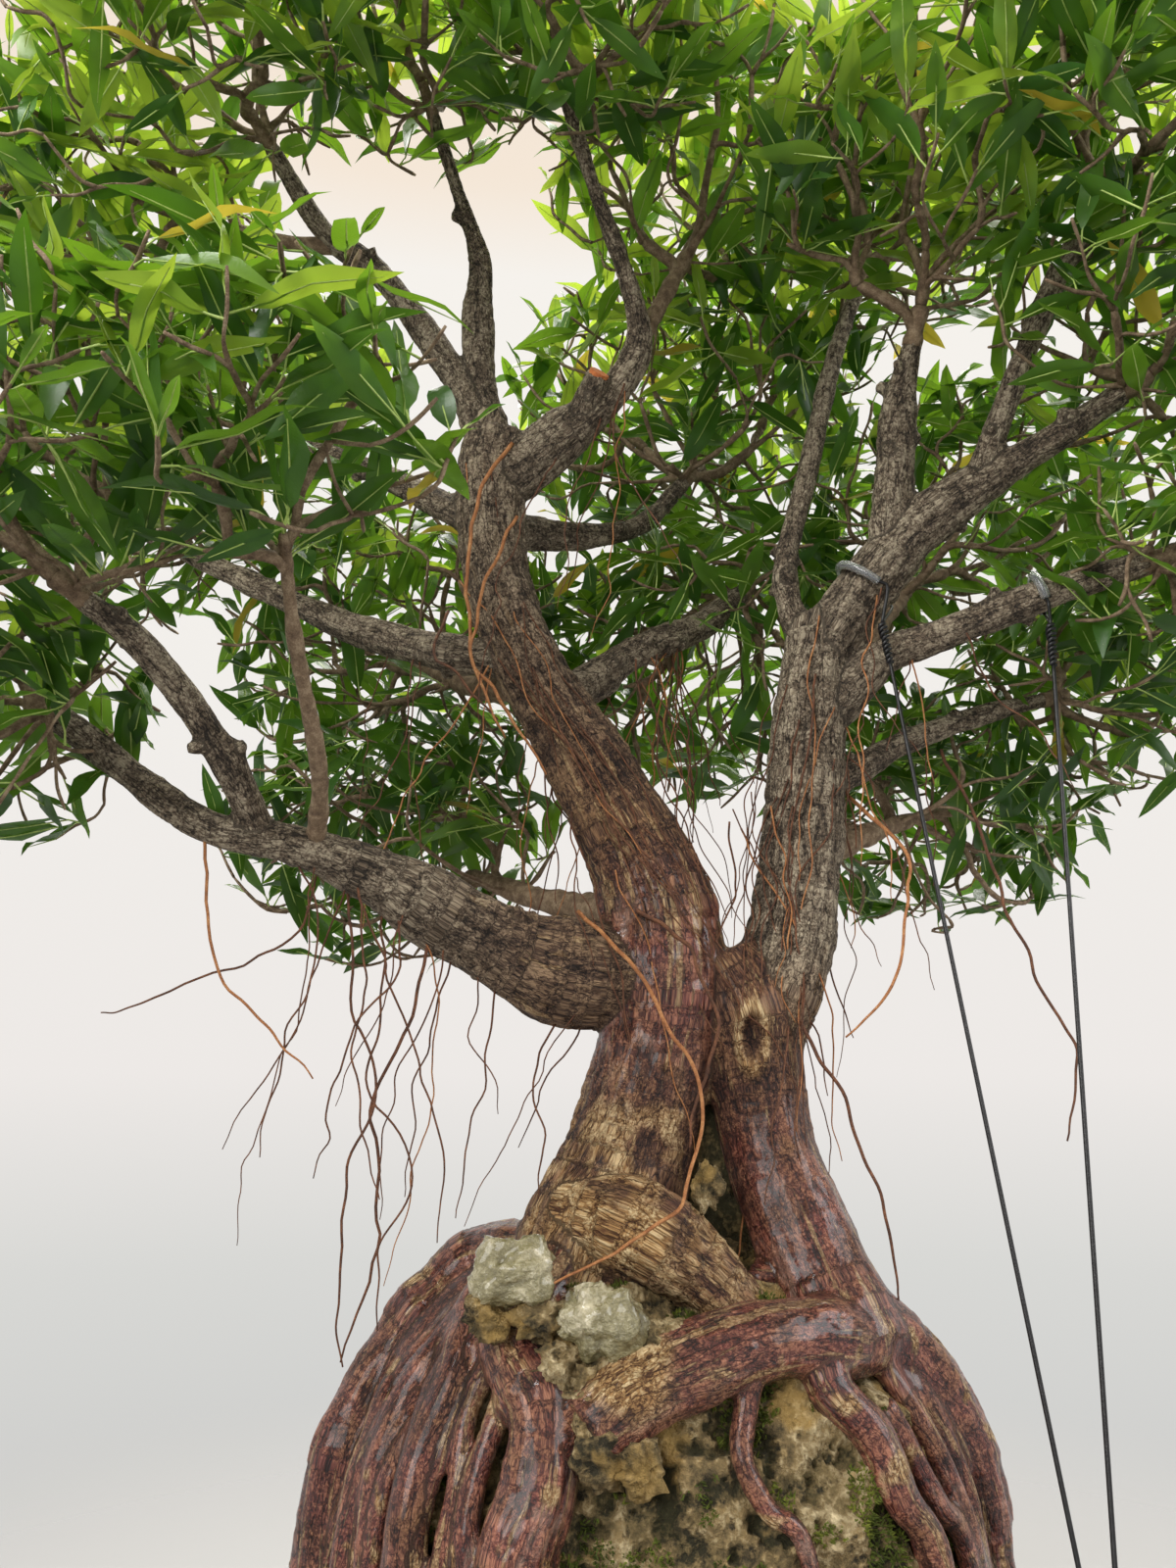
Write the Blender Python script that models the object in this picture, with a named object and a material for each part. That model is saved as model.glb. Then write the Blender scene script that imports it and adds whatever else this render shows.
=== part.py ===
# A willow-leaf fig grown over a rock, in a shallow clay tray. Metres, +Z up.
# The origin is the middle of the tray's flat underside, and the front faces -Y.
# Routes and sizes are written in millimetres and turned into metres by mm.
import math

import bmesh
import bpy
import numpy as np
from mathutils import Matrix, Vector
from mathutils.bvhtree import BVHTree

mm = 0.001
gap = 0.3 * mm  # clearance between pieces that touch

# Tray and soil
tray_length, tray_depth, tray_height = 400, 265, 62
tray_wall, tray_floor, tray_corner = 9, 12, 34
lip_height, lip_proud = 11, 4
foot_height, foot_inset = 8, 16
body_taper, hollow_taper, hollow_top = 10, 12, 82
soil_top = 55

# Rock: upright sides up to its shoulder, then a dome; its plan is an ellipse
rock_x, rock_half_x, rock_half_y = -7, 116, 88
rock_foot, rock_shoulder, rock_top = soil_top + 0.3, 105, 233
rock_bump = 1.8

# Foliage: every mass is a ball flattened by the same share
flatten = 0.75
leaf_length, leaf_width, leaf_thickness = 69, 20, 1.1
leaves_per_ball = 11.7  # in a ball of mean reach
leaf_tries = 28
leaf_spacing = 5  # along a twig
mean_reach = 84
twig_tip, twig_step, fork_share = 1.0, 44, 0.7

# Each limb: (x, y, z, radius) along its middle line
stems = {
    "main": [(-43, -22, 196, 28), (-28, -8, 229, 30), (-11, 0, 274, 25), (-3, 0, 306, 24), (0, 0, 340, 26),
             (-6, 2, 372, 24), (-27, 4, 415, 18.5), (-56, 7, 466, 16.4), (-74, 7, 514, 15.4), (-78, 7, 558, 16),
             (-75, 5, 585, 15)],
    "right_leg": [(64, -30, 192, 23), (54, -18, 222, 20), (42, -6, 256, 19), (37, 0, 286, 20), (33, 1, 318, 22),
                  (22, 1, 340, 17)],
    "knee": [(-34, -22, 240, 15), (-14, -34, 236, 18), (8, -36, 222, 15), (26, -36, 204, 11)],
}
right_stem = [(38, 2, 306, 20), (51, 4, 338, 19.6), (58, 7, 372, 18.6), (64, 7, 416, 17.3), (69, 6, 457, 16),
              (73, 4, 484, 14)]

# Each bough: the limbs that it is cut clear of, then its route
boughs = {
    "bough_left_low": (("main",), [
        (-16, 0, 330, 22), (-50, -8, 335, 19.8), (-83, -22, 350, 16.4), (-113, -36, 367, 12),
        (-146, -48, 378, 8.7), (-182, -56, 386, 7.1), (-237, -64, 426, 5.1)]),
    "bough_left_riser": (("bough_left_low",), [
        (-158, -50, 381, 7), (-167, -76, 407, 6.4), (-187, -104, 436, 5.2), (-203, -124, 448, 4.4)]),
    "bough_left_mid": (("main",), [
        (-68, 8, 474, 9), (-90, 12, 478, 8.6), (-131, 34, 495, 8), (-178, 50, 519, 6.6),
        (-264, 72, 569, 4.6)]),
    "bough_left_high": (("main", "bough_left_mid"), [
        (-78, 7, 542, 9), (-96, 14, 551, 7.8), (-127, 34, 577, 7), (-164, 54, 603, 5.6),
        (-203, 72, 623, 4.2)]),
    "bough_top_left": (("main",), [
        (-77, 6, 574, 9.5), (-90, 2, 604, 7.6), (-105, 0, 630, 6.6), (-132, -12, 662, 6),
        (-155, -26, 673, 4.8), (-175, -52, 697, 3.6)]),
    "bough_top_centre": (("main", "bough_top_left"), [
        (-76, 6, 576, 9.5), (-83, 3, 610, 8.4), (-85, -2, 646, 6.8), (-84, -8, 672, 5.4),
        (-93, -24, 695, 4), (-104, -46, 722, 3.2)]),
    "bough_top_right": (("main", "bough_top_left", "bough_top_centre"), [
        (-73, 6, 561, 13), (-41, 0, 585, 11.3), (-19, -8, 602, 8), (-8, -13, 624, 6.2),
        (-14, -26, 648, 4.8), (-31, -48, 684, 3.9), (-42, -68, 710, 3.2)]),
    "bough_back": (("main", "bough_top_right", "bough_left_high"), [
        (-76, 8, 538, 9), (-55, 30, 547, 7.4), (-32, 48, 555, 6.7), (-4, 70, 572, 5.7),
        (20, 88, 606, 4.6)]),
    "bough_low_back": (("main", "bough_left_mid"), [
        (-52, 8, 458, 11), (-34, 26, 467, 9.4), (-10, 46, 492, 9), (26, 70, 515, 7.4), (50, 92, 542, 5.2)]),
    "bough_right_high": (("right_stem",), [
        (72, 4, 474, 14), (96, -4, 508, 12.8), (122, -14, 534, 11), (146, -24, 548, 8.7),
        (175, -42, 561, 6.3), (193, -56, 570, 5)]),
    "bough_right_stub": (("bough_right_high",), [
        (103, -7, 516, 10), (107, -12, 553, 9.3), (109, -20, 586, 7.6), (114, -34, 613, 4.6)]),
    "bough_right_rear_up": (("right_stem", "bough_right_high"), [
        (70, 8, 474, 7), (60, 12, 517, 6), (75, 20, 576, 5.2), (92, 26, 642, 4.8), (109, 30, 690, 3.8)]),
    "bough_right_front_up": (("bough_right_high",), [
        (140, -22, 544, 7), (153, -42, 584, 5.4), (166, -62, 618, 5), (176, -76, 636, 4.2)]),
    "bough_right_mid": (("right_stem", "bough_right_high"), [
        (70, 6, 446, 12), (99, 0, 472, 9), (124, -8, 480, 7.8), (170, -22, 495, 6.8),
        (206, -36, 502, 5.4)]),
    "bough_right_low": (("right_stem", "bough_right_mid"), [
        (66, 8, 406, 8), (86, 16, 422, 6.6), (113, 28, 440, 5.9), (156, 44, 459, 4.9), (196, 58, 472, 4)]),
}

# Each foliage mass: middle, reach, and what its stem grows from. A bough's name alone
# means its tip; a route starts inside the limb that is named before it.
masses = {
    "leaves_left_low": ((-270, -72, 424), 76, "bough_left_low", None),
    "leaves_left_front": ((-226, -152, 496), 84, "bough_left_riser", None),
    "leaves_left_spur": ((-131, -166, 496), 66, "bough_left_low",
                         [(-138, -46, 377, 4), (-131, -76, 400, 3.2), (-133, -114, 438, 2.6),
                          (-132, -140, 464, 2)]),
    "leaves_left_rear": ((-135, 112, 412), 94, "main",
                         [(-8, 6, 358, 8), (-50, 50, 370, 6), (-90, 84, 388, 4)]),
    "leaves_left_mid": ((-290, 84, 580), 84, "bough_left_mid", None),
    "leaves_left_high": ((-228, 98, 672), 92, "bough_left_high", None),
    "leaves_back_left": ((-133, 132, 528), 110, "main",
                         [(-58, 9, 462, 7), (-86, 46, 474, 5.8), (-112, 80, 494, 4)]),
    "leaves_top_left": ((-192, -98, 718), 84, "bough_top_left", None),
    "leaves_upper_left": ((-256, -24, 690), 82, "bough_top_left",
                          [(-148, -20, 669, 4), (-193, -30, 668, 3), (-222, -34, 675, 2.6)]),
    "leaves_top_centre": ((-110, -78, 742), 76, "bough_top_centre", None),
    "leaves_top_middle": ((-34, -104, 730), 76, "bough_top_right", None),
    "leaves_top_inner": ((38, 14, 744), 96, "bough_top_right",
                         [(-10, -11, 620, 4.6), (11, 0, 670, 3.8), (26, 6, 705, 3)]),
    "leaves_back": ((28, 128, 674), 114, "bough_back", None),
    "leaves_low_back": ((44, 138, 518), 110, "bough_low_back", None),
    "leaves_right_high": ((218, -62, 606), 86, "bough_right_high", None),
    "leaves_right_stub": ((116, -76, 676), 82, "bough_right_stub", None),
    "leaves_right_top": ((124, 44, 740), 92, "bough_right_rear_up", None),
    "leaves_right_front": ((196, -116, 678), 82, "bough_right_front_up", None),
    "leaves_right_mid": ((236, -54, 504), 76, "bough_right_mid", None),
    "leaves_right_low": ((234, 74, 484), 84, "bough_right_low", None),
    "leaves_right_rear": ((156, 128, 430), 92, "right_stem",
                          [(60, 8, 380, 7), (100, 42, 401, 5), (128, 72, 414, 3.4)]),
    "leaves_back_right": ((176, 120, 596), 102, "right_stem",
                          [(68, 7, 450, 7), (104, 48, 496, 5), (138, 86, 542, 3.6)]),
}

# Each root: where it leaves the wood, then (azimuth, height) down the rock, and its first and last radius
roots = {
    "root_left_outer": ((-50, -12, 222), [
        (172, 213), (178, 196), (183, 168), (186, 138), (187, 48)], (15, 12), ()),
    "root_left_side": ((-52, -18, 216), [
        (-172, 210), (-168, 188), (-160, 164), (-157, 134), (-156, 48)], (7, 5.5), ("root_left_outer",)),
    "root_left_front": ((-50, -24, 218), [
        (-155, 208), (-140, 188), (-139, 162), (-136, 134), (-134, 48)],
        (8, 6.5), ("root_left_outer", "root_left_side")),
    "root_front_left": ((-42, -30, 222), [
        (-128, 200), (-114, 182), (-112, 162), (-114, 138), (-115, 48)], (12.5, 12), ("root_left_front",)),
    "root_crossing": ((60, -26, 208), [
        (-32, 197), (-52, 200), (-72, 199), (-86, 194), (-97, 187), (-104, 178)],
        (13, 12), ("root_front_left",)),
    "root_right_outer": ((60, -24, 212), [
        (-24, 202), (-14, 191), (-6, 166), (-3, 138), (-2, 48)], (14, 12), ("root_crossing",)),
    "root_right_front": ((50, -44, 208), [
        (-52, 188), (-46, 174), (-45, 156), (-40, 134), (-36, 48)],
        (8, 5), ("root_crossing", "root_right_outer")),
    "root_right_inner": ((70, -48, 182), [
        (-36, 168), (-33, 150), (-26, 128), (-22, 48)],
        (4.5, 3.5), ("root_right_front", "root_right_outer")),
    "root_thin": ((24, -66, 198), [
        (-74, 182), (-76, 171), (-73, 158), (-67, 142), (-64, 48)], (4, 3), ("root_crossing",)),
    "root_back_left": ((-44, -6, 220), [
        (140, 210), (134, 184), (140, 154), (132, 126), (130, 48)], (12, 9), ("root_left_outer",)),
    "root_back": ((-30, 0, 226), [
        (98, 216), (88, 190), (94, 156), (86, 128), (88, 48)], (10, 8), ("root_back_left",)),
    "root_back_right": ((58, -16, 212), [
        (28, 204), (38, 182), (34, 152), (42, 126), (40, 48)], (13, 9), ("root_right_outer",)),
}

# Roots that hang in the air: the limb they grow from and their route
air_roots = {
    "air_root_left": ("bough_left_low", [(-93, -25, 353), (-98, -36, 318), (-112, -42, 282), (-108, -38, 246),
                                         (-119, -40, 192)], 1.2),
    "air_root_front": ("main", [(-20, -12, 368), (-28, -34, 350), (-4, -37, 302), (8, -44, 276), (-2, -60, 254),
                                (-46, -66, 230)], 1.2),
}

# Guy wires: the bough each is looped over, the share of its route, and where it is pegged in the soil
wire_radius, sleeve_radius, knot_forward = 0.9, 2.0, 8
guys = {
    "right": ("bough_right_high", 0.185, (124, -106, 55)),
    "outer": ("bough_right_mid", 0.72, (116, -112, 55)),
}

for old in list(bpy.data.objects):
    bpy.data.objects.remove(old)
plant = bpy.data.collections.new("fig_bonsai")
bpy.context.scene.collection.children.link(plant)


def material(name, colour, roughness):
    made = bpy.data.materials.new(name)
    made.use_nodes = True
    shader = made.node_tree.nodes["Principled BSDF"]
    shader.inputs["Base Color"].default_value = (*colour, 1)
    shader.inputs["Roughness"].default_value = roughness
    made.diffuse_color = (*colour, 1)
    return made


clay = material("clay", (0.13, 0.062, 0.042), 0.8)
earth = material("earth", (0.045, 0.032, 0.022), 0.95)
stone = material("stone", (0.30, 0.22, 0.11), 0.9)
red_bark = material("red_bark", (0.16, 0.07, 0.05), 0.6)
grey_bark = material("grey_bark", (0.23, 0.17, 0.12), 0.85)
foliage = material("foliage", (0.06, 0.17, 0.03), 0.5)
black_wire = material("black_wire", (0.01, 0.01, 0.012), 0.4)
clear_tube = material("clear_tube", (0.75, 0.78, 0.78), 0.15)


# ---- shaping ----
def smooth_route(route, steps):
    # Points of a curve through the route's own, with the radius as a fourth value.
    knots = np.array(route, float)
    first = 2 * knots[0] - knots[1]
    last = 2 * knots[-1] - knots[-2]
    knots = np.vstack([first, knots, last])
    points = []
    for i in range(1, len(knots) - 2):
        a, b, c, d = knots[i - 1:i + 3]
        for share in np.arange(steps) / steps:
            points.append(0.5 * (2 * b + (c - a) * share + (2 * a - 5 * b + 4 * c - d) * share ** 2
                                 + (3 * b - a - 3 * c + d) * share ** 3))
    points.append(knots[-2])
    return np.array(points) * mm


def tube(name, line, sides, extra=0.0):
    # A closed tube along the line; extra thickens it and lengthens it at both ends.
    line = np.array(line, float)
    if extra:
        for end, inner in ((0, 1), (-1, -2)):
            away = line[end, :3] - line[inner, :3]
            line[end, :3] += away / np.linalg.norm(away) * extra
    curve = bpy.data.curves.new(name, "CURVE")
    curve.dimensions = "3D"
    curve.bevel_depth = 1.0
    curve.bevel_resolution = (sides - 4) // 2
    curve.use_fill_caps = True
    spline = curve.splines.new("POLY")
    spline.points.add(len(line) - 1)
    for point, (x, y, z, radius) in zip(spline.points, line):
        point.co = (x, y, z, 1)
        point.radius = radius + extra
    guide = bpy.data.objects.new(name, curve)
    plant.objects.link(guide)
    return as_mesh(guide)


def as_mesh(source):
    # The evaluated object as plain welded mesh, in place of the source.
    name = source.name
    bpy.context.view_layer.update()
    evaluated = source.evaluated_get(bpy.context.evaluated_depsgraph_get())
    mesh = bpy.data.meshes.new_from_object(evaluated)
    place = source.matrix_world.copy()
    bpy.data.objects.remove(source)
    shape = bmesh.new()
    shape.from_mesh(mesh)
    bmesh.ops.remove_doubles(shape, verts=shape.verts, dist=0.001 * mm)
    quads = [face for face in shape.faces if len(face.verts) == 4]
    bmesh.ops.triangulate(shape, faces=quads, quad_method="FIXED")
    bmesh.ops.recalc_face_normals(shape, faces=shape.faces)
    shape.to_mesh(mesh)
    shape.free()
    made = bpy.data.objects.new(name, mesh)
    made.matrix_world = place
    plant.objects.link(made)
    return made


def boolean(target, others, operation, solver="EXACT"):
    # One Boolean on a collection of the others, applied; the others are removed.
    operands = bpy.data.collections.new("operands")
    for other in others:
        operands.objects.link(other)
    step = target.modifiers.new("joined", "BOOLEAN")
    step.operation = operation
    step.operand_type = "COLLECTION"
    step.collection = operands
    step.solver = solver
    bpy.context.view_layer.update()
    evaluated = target.evaluated_get(bpy.context.evaluated_depsgraph_get())
    mesh = bpy.data.meshes.new_from_object(evaluated)
    target.modifiers.clear()
    target.data = mesh
    for other in others:
        bpy.data.objects.remove(other)
    bpy.data.collections.remove(operands)
    return target


def shell_area(verts):
    faces = {face for vert in verts for face in vert.link_faces}
    return sum(face.calc_area() for face in faces)


def keep_largest(target):
    # Drops the loose scraps that a cut leaves.
    shape = bmesh.new()
    shape.from_mesh(target.data)
    left = set(shape.verts)
    shells = []
    while left:
        queue = [left.pop()]
        shell = set(queue)
        while queue:
            vert = queue.pop()
            for edge in vert.link_edges:
                near = edge.other_vert(vert)
                if near in left:
                    left.discard(near)
                    shell.add(near)
                    queue.append(near)
        shells.append(shell)
    largest = max(shells, key=shell_area)
    scraps = [vert for shell in shells if shell is not largest for vert in shell]
    bmesh.ops.delete(shape, geom=scraps, context="VERTS")
    shape.to_mesh(target.data)
    shape.free()
    return target


def finish(target, look):
    target.data.materials.clear()
    target.data.materials.append(look)
    target.data.shade_smooth()
    target.data.set_sharp_from_angle(angle=math.radians(50))


# ---- tray and soil ----
def rounded_block(name, length, depth, low, high, corner, taper=0.0):
    # A block with round upright edges, narrower at the foot by the taper on each side.
    shape = bmesh.new()
    bmesh.ops.create_cube(shape, size=1)
    bmesh.ops.scale(shape, vec=(length * mm, depth * mm, (high - low) * mm), verts=shape.verts)
    bmesh.ops.translate(shape, vec=(0, 0, (high + low) / 2 * mm), verts=shape.verts)
    tall = 0.5 * (high - low) * mm
    upright = [edge for edge in shape.edges if abs(edge.verts[0].co.z - edge.verts[1].co.z) > tall]
    bmesh.ops.bevel(shape, geom=upright, offset=corner * mm, segments=5, profile=0.5, affect="EDGES")
    for vert in shape.verts:
        if vert.co.z < (low + high) / 2 * mm:
            vert.co.x *= 1 - 2 * taper / length
            vert.co.y *= 1 - 2 * taper / depth
    mesh = bpy.data.meshes.new(name)
    shape.to_mesh(mesh)
    shape.free()
    made = bpy.data.objects.new(name, mesh)
    plant.objects.link(made)
    return made


def make_tray():
    body = rounded_block("tray", tray_length, tray_depth, foot_height, tray_height, tray_corner,
                         body_taper)
    lip = rounded_block("lip", tray_length + 2 * lip_proud, tray_depth + 2 * lip_proud,
                        tray_height - lip_height, tray_height + 0.5, tray_corner + lip_proud)
    foot = rounded_block("foot", tray_length - 2 * foot_inset, tray_depth - 2 * foot_inset, 0, foot_height + 3,
                         tray_corner - foot_inset / 2)
    boolean(body, [lip, foot], "UNION")
    boolean(body, [tray_hollow(0)], "DIFFERENCE")
    finish(body, clay)


def tray_hollow(extra):
    # The space inside the tray, open at the top; extra (mm) draws its sides and floor in.
    inset = 2 * (tray_wall + extra)
    return rounded_block("hollow", tray_length - inset, tray_depth - inset, tray_floor + extra, hollow_top,
                         tray_corner - tray_wall, hollow_taper)


def make_soil():
    soil = tray_hollow(0.3)
    soil.name = "soil"
    above = rounded_block("above", tray_length, tray_depth, soil_top, hollow_top + 10, 10)
    boolean(soil, [above], "DIFFERENCE")
    finish(soil, earth)


# ---- rock ----
def rock_point(azimuth, height, lift=0.0):
    # A point of the plain rock in millimetres, raised off it by lift along its outward direction.
    share = (height - rock_shoulder) / (rock_top - rock_shoulder)
    share = min(max(share, 0.0), 0.999)
    wide = (1 - share ** 2.2) ** 0.556
    angle = math.radians(azimuth)
    spot = Vector((rock_x + rock_half_x * wide * math.cos(angle), rock_half_y * wide * math.sin(angle), height))
    steep = 0.55 * share ** 1.6
    outward = Vector((math.cos(angle) / rock_half_x, math.sin(angle) / rock_half_y, 0)).normalized()
    outward = (outward * (1 - steep) + Vector((0, 0, steep))).normalized()
    return spot + outward * lift


def rock_relief(spot):
    # Soft lumps, in millimetres, worked out from sines of the place.
    x, y, z = spot.x, spot.y, spot.z
    return rock_bump * (math.sin(x * 0.11 + 1.3 * math.sin(y * 0.07)) + 0.7 * math.sin(y * 0.15 + z * 0.12)
                        + 0.5 * math.sin(z * 0.2 - x * 0.09))


def make_rock(name, extra=0.0):
    # The upper half of a sphere, drawn onto the rock; extra (mm) swells it evenly.
    shape = bmesh.new()
    bmesh.ops.create_uvsphere(shape, u_segments=30, v_segments=20, radius=1)
    cut = bmesh.ops.bisect_plane(shape, geom=shape.verts[:] + shape.edges[:] + shape.faces[:], plane_co=(0, 0, 0),
                                 plane_no=(0, 0, 1), clear_inner=True, dist=1e-5)
    rim = [edge for edge in cut["geom_cut"] if isinstance(edge, bmesh.types.BMEdge)]
    bmesh.ops.contextual_create(shape, geom=rim)
    for vert in shape.verts:
        level = min(max(vert.co.z, 0.0), 1.0)
        azimuth = math.degrees(math.atan2(vert.co.y, vert.co.x))
        height = rock_foot + (rock_top - rock_foot) * level ** 0.909
        spot = rock_point(azimuth, height)
        if level > 0.999:
            spot = Vector((rock_x, 0, rock_top))
        outward = Vector((vert.co.x, vert.co.y, vert.co.z)).normalized()
        place = spot + outward * (rock_relief(spot) + extra)
        place.z = rock_foot - extra if level < 0.001 else max(place.z, rock_foot - extra)
        vert.co = place * mm
    bmesh.ops.triangulate(shape, faces=shape.faces, quad_method="FIXED")
    bmesh.ops.recalc_face_normals(shape, faces=shape.faces)
    mesh = bpy.data.meshes.new(name)
    shape.to_mesh(mesh)
    shape.free()
    made = bpy.data.objects.new(name, mesh)
    plant.objects.link(made)
    return made


# ---- wood ----
limb_lines = {}  # every limb's smooth line in metres
limb_sides = {}


def plan_limb(name, route, steps, sides):
    limb_lines[name] = smooth_route(route, steps)
    limb_sides[name] = sides


def limb_tube(name, extra=0.0):
    return tube(name if not extra else "cutter", limb_lines[name], limb_sides[name], extra)


def wood_cutters(names):
    return [limb_tube(name, gap) for name in names]


def make_trunk():
    trunk = limb_tube("main")
    boolean(trunk, [limb_tube("right_leg"), limb_tube("knee")], "UNION")
    boolean(trunk, [make_rock("cutter", 0.3)], "DIFFERENCE")
    keep_largest(trunk)
    trunk.name = "trunk"
    finish(trunk, red_bark)
    stem = limb_tube("right_stem")
    boolean(stem, wood_cutters(stems), "DIFFERENCE")
    keep_largest(stem)
    finish(stem, grey_bark)


def root_line(start, spots, radii):
    # Down the rock and half sunk in it, so that the rock can be cut out of it.
    route = [(*start, radii[0])]
    for i, (azimuth, height) in enumerate(spots):
        radius = radii[0] + (radii[1] - radii[0]) * i / (len(spots) - 1)
        spot = rock_point(azimuth, height, 0.45 * radius + 1)
        route.append((spot.x, spot.y, height, radius))
    return route


def make_roots():
    for name, (start, spots, radii, near) in roots.items():
        plan_limb(name, root_line(start, spots, radii), 2 if radii[0] > 8 else 1, 8 if radii[0] > 12 else 6)
        root = limb_tube(name)
        ground = rounded_block("cutter", tray_length, tray_depth, 0, rock_foot, 20)
        cutters = [make_rock("cutter", 0.3), ground, *wood_cutters(stems), *wood_cutters(near)]
        boolean(root, cutters, "DIFFERENCE", "MANIFOLD")
        keep_largest(root)
        finish(root, red_bark)


def make_boughs():
    for name, (near, route) in boughs.items():
        bough = limb_tube(name)
        wider = [other for other in near if other != "main"] + (list(stems) if "main" in near else [])
        boolean(bough, wood_cutters(wider), "DIFFERENCE")
        keep_largest(bough)
        finish(bough, grey_bark)


def make_air_roots():
    for name, (source, route, radius) in air_roots.items():
        plan_limb(name, [(*spot, radius) for spot in route], 3, 4)
        root = limb_tube(name)
        boolean(root, wood_cutters([source]), "DIFFERENCE")
        keep_largest(root)
        finish(root, red_bark)


# ---- guy wires ----
def make_guys():
    for name, (bough, share, peg) in guys.items():
        line = limb_lines[bough]
        at = share * (len(line) - 1)
        low = int(at)
        middle = Vector(line[low, :3]).lerp(Vector(line[low + 1, :3]), at - low)
        wood = line[low, 3] + (line[low + 1, 3] - line[low, 3]) * (at - low)
        along = Vector(line[low + 1, :3] - line[low, :3]).normalized()
        up = (Vector((0, 0, 1)) - along * along.z).normalized()
        side = along.cross(up)
        reach = wood + gap + sleeve_radius * mm
        arc = [middle + (up * math.cos(turn) + side * math.sin(turn)) * reach
               for turn in np.radians(np.linspace(-118, 118, 9))]
        sleeve_line = np.array([(*spot, sleeve_radius * mm) for spot in arc])
        limb_lines["guy_sleeve_" + name] = sleeve_line
        limb_sides["guy_sleeve_" + name] = 6
        finish(limb_tube("guy_sleeve_" + name), clear_tube)
        peg_spot = Vector(peg) * mm
        knot = middle + (peg_spot - middle).normalized() * (reach + 9 * mm) - Vector((0, knot_forward * mm, 0))
        down = (peg_spot - knot).normalized()
        twist_end = knot + down * 16 * mm
        thin = wire_radius * mm
        legs = []
        for end, inner in ((arc[0], arc[1]), (arc[-1], arc[-2])):
            out = (end - inner).normalized()
            first = end + out * gap
            bend = first + out * 4 * mm
            legs.append([(*first, thin), (*bend, thin), (*knot, thin)])
        run = [(*(knot - down * mm), 1.8 * thin), (*twist_end, 1.8 * thin), (*(twist_end + down * mm), thin),
               (*peg_spot.lerp(twist_end, 0.5), thin), (*(peg_spot + Vector((0, 0, gap)) - down * thin), thin)]
        limb_lines["guy_wire_" + name] = np.array(run)
        limb_sides["guy_wire_" + name] = 6
        wire = limb_tube("guy_wire_" + name)
        boolean(wire, [tube("leg", leg, 6) for leg in legs], "UNION")
        keep_largest(wire)
        finish(wire, black_wire)


# ---- foliage ----
def rounded_space(points):
    # The space in which every foliage mass is a true ball.
    return np.asarray(points, float) * (1, 1, 1 / flatten)


balls = {name: (rounded_space(np.array(spec[0]) * mm), spec[1] * mm) for name, spec in masses.items()}


def room(name, points):
    # Least distance from the points to the edge of the mass's own space. Neighbouring
    # balls are parted by planes, so a shape whose corners are inside is wholly inside.
    middle, reach = balls[name]
    spots = rounded_space(points)
    own = ((spots - middle) ** 2).sum(-1) - reach ** 2
    least = reach - np.linalg.norm(spots - middle, axis=-1)
    for other, (other_middle, other_reach) in balls.items():
        if other != name:
            theirs = ((spots - other_middle) ** 2).sum(-1) - other_reach ** 2
            least = np.minimum(least, (theirs - own) / (2 * np.linalg.norm(other_middle - middle)))
    return least.min()


def clearance(points, taken):
    # Least distance from the points to the surface of the stretches, each a row of two ends with radii.
    if not len(taken):
        return 1.0
    stretches = np.asarray(taken)
    spots = np.asarray(points, float)[:, None]
    start, end = stretches[:, :3], stretches[:, 4:7]
    along = end - start
    share = ((spots - start) * along).sum(-1) / (along ** 2).sum(-1)
    share = np.clip(share, 0, 1)
    nearest = start + along * share[..., None]
    radius = stretches[:, 3] + (stretches[:, 7] - stretches[:, 3]) * share
    return (np.linalg.norm(spots - nearest, axis=-1) - radius).min()


def stem_of(name):
    # The first stretch of the mass's own wood, from the bough's tip or out of the limb's middle.
    source, route = masses[name][2:]
    if route:
        return smooth_route(route, 2), 2
    line = limb_lines[source]
    heading = line[-1, :3] - line[-2, :3]
    heading /= np.linalg.norm(heading)
    first = line[-1, :3] + heading * gap
    radius = 0.92 * line[-1, 3]
    return np.array([(*first, radius), (*(first + heading * 12 * mm), 0.9 * radius)]), 1


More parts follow.
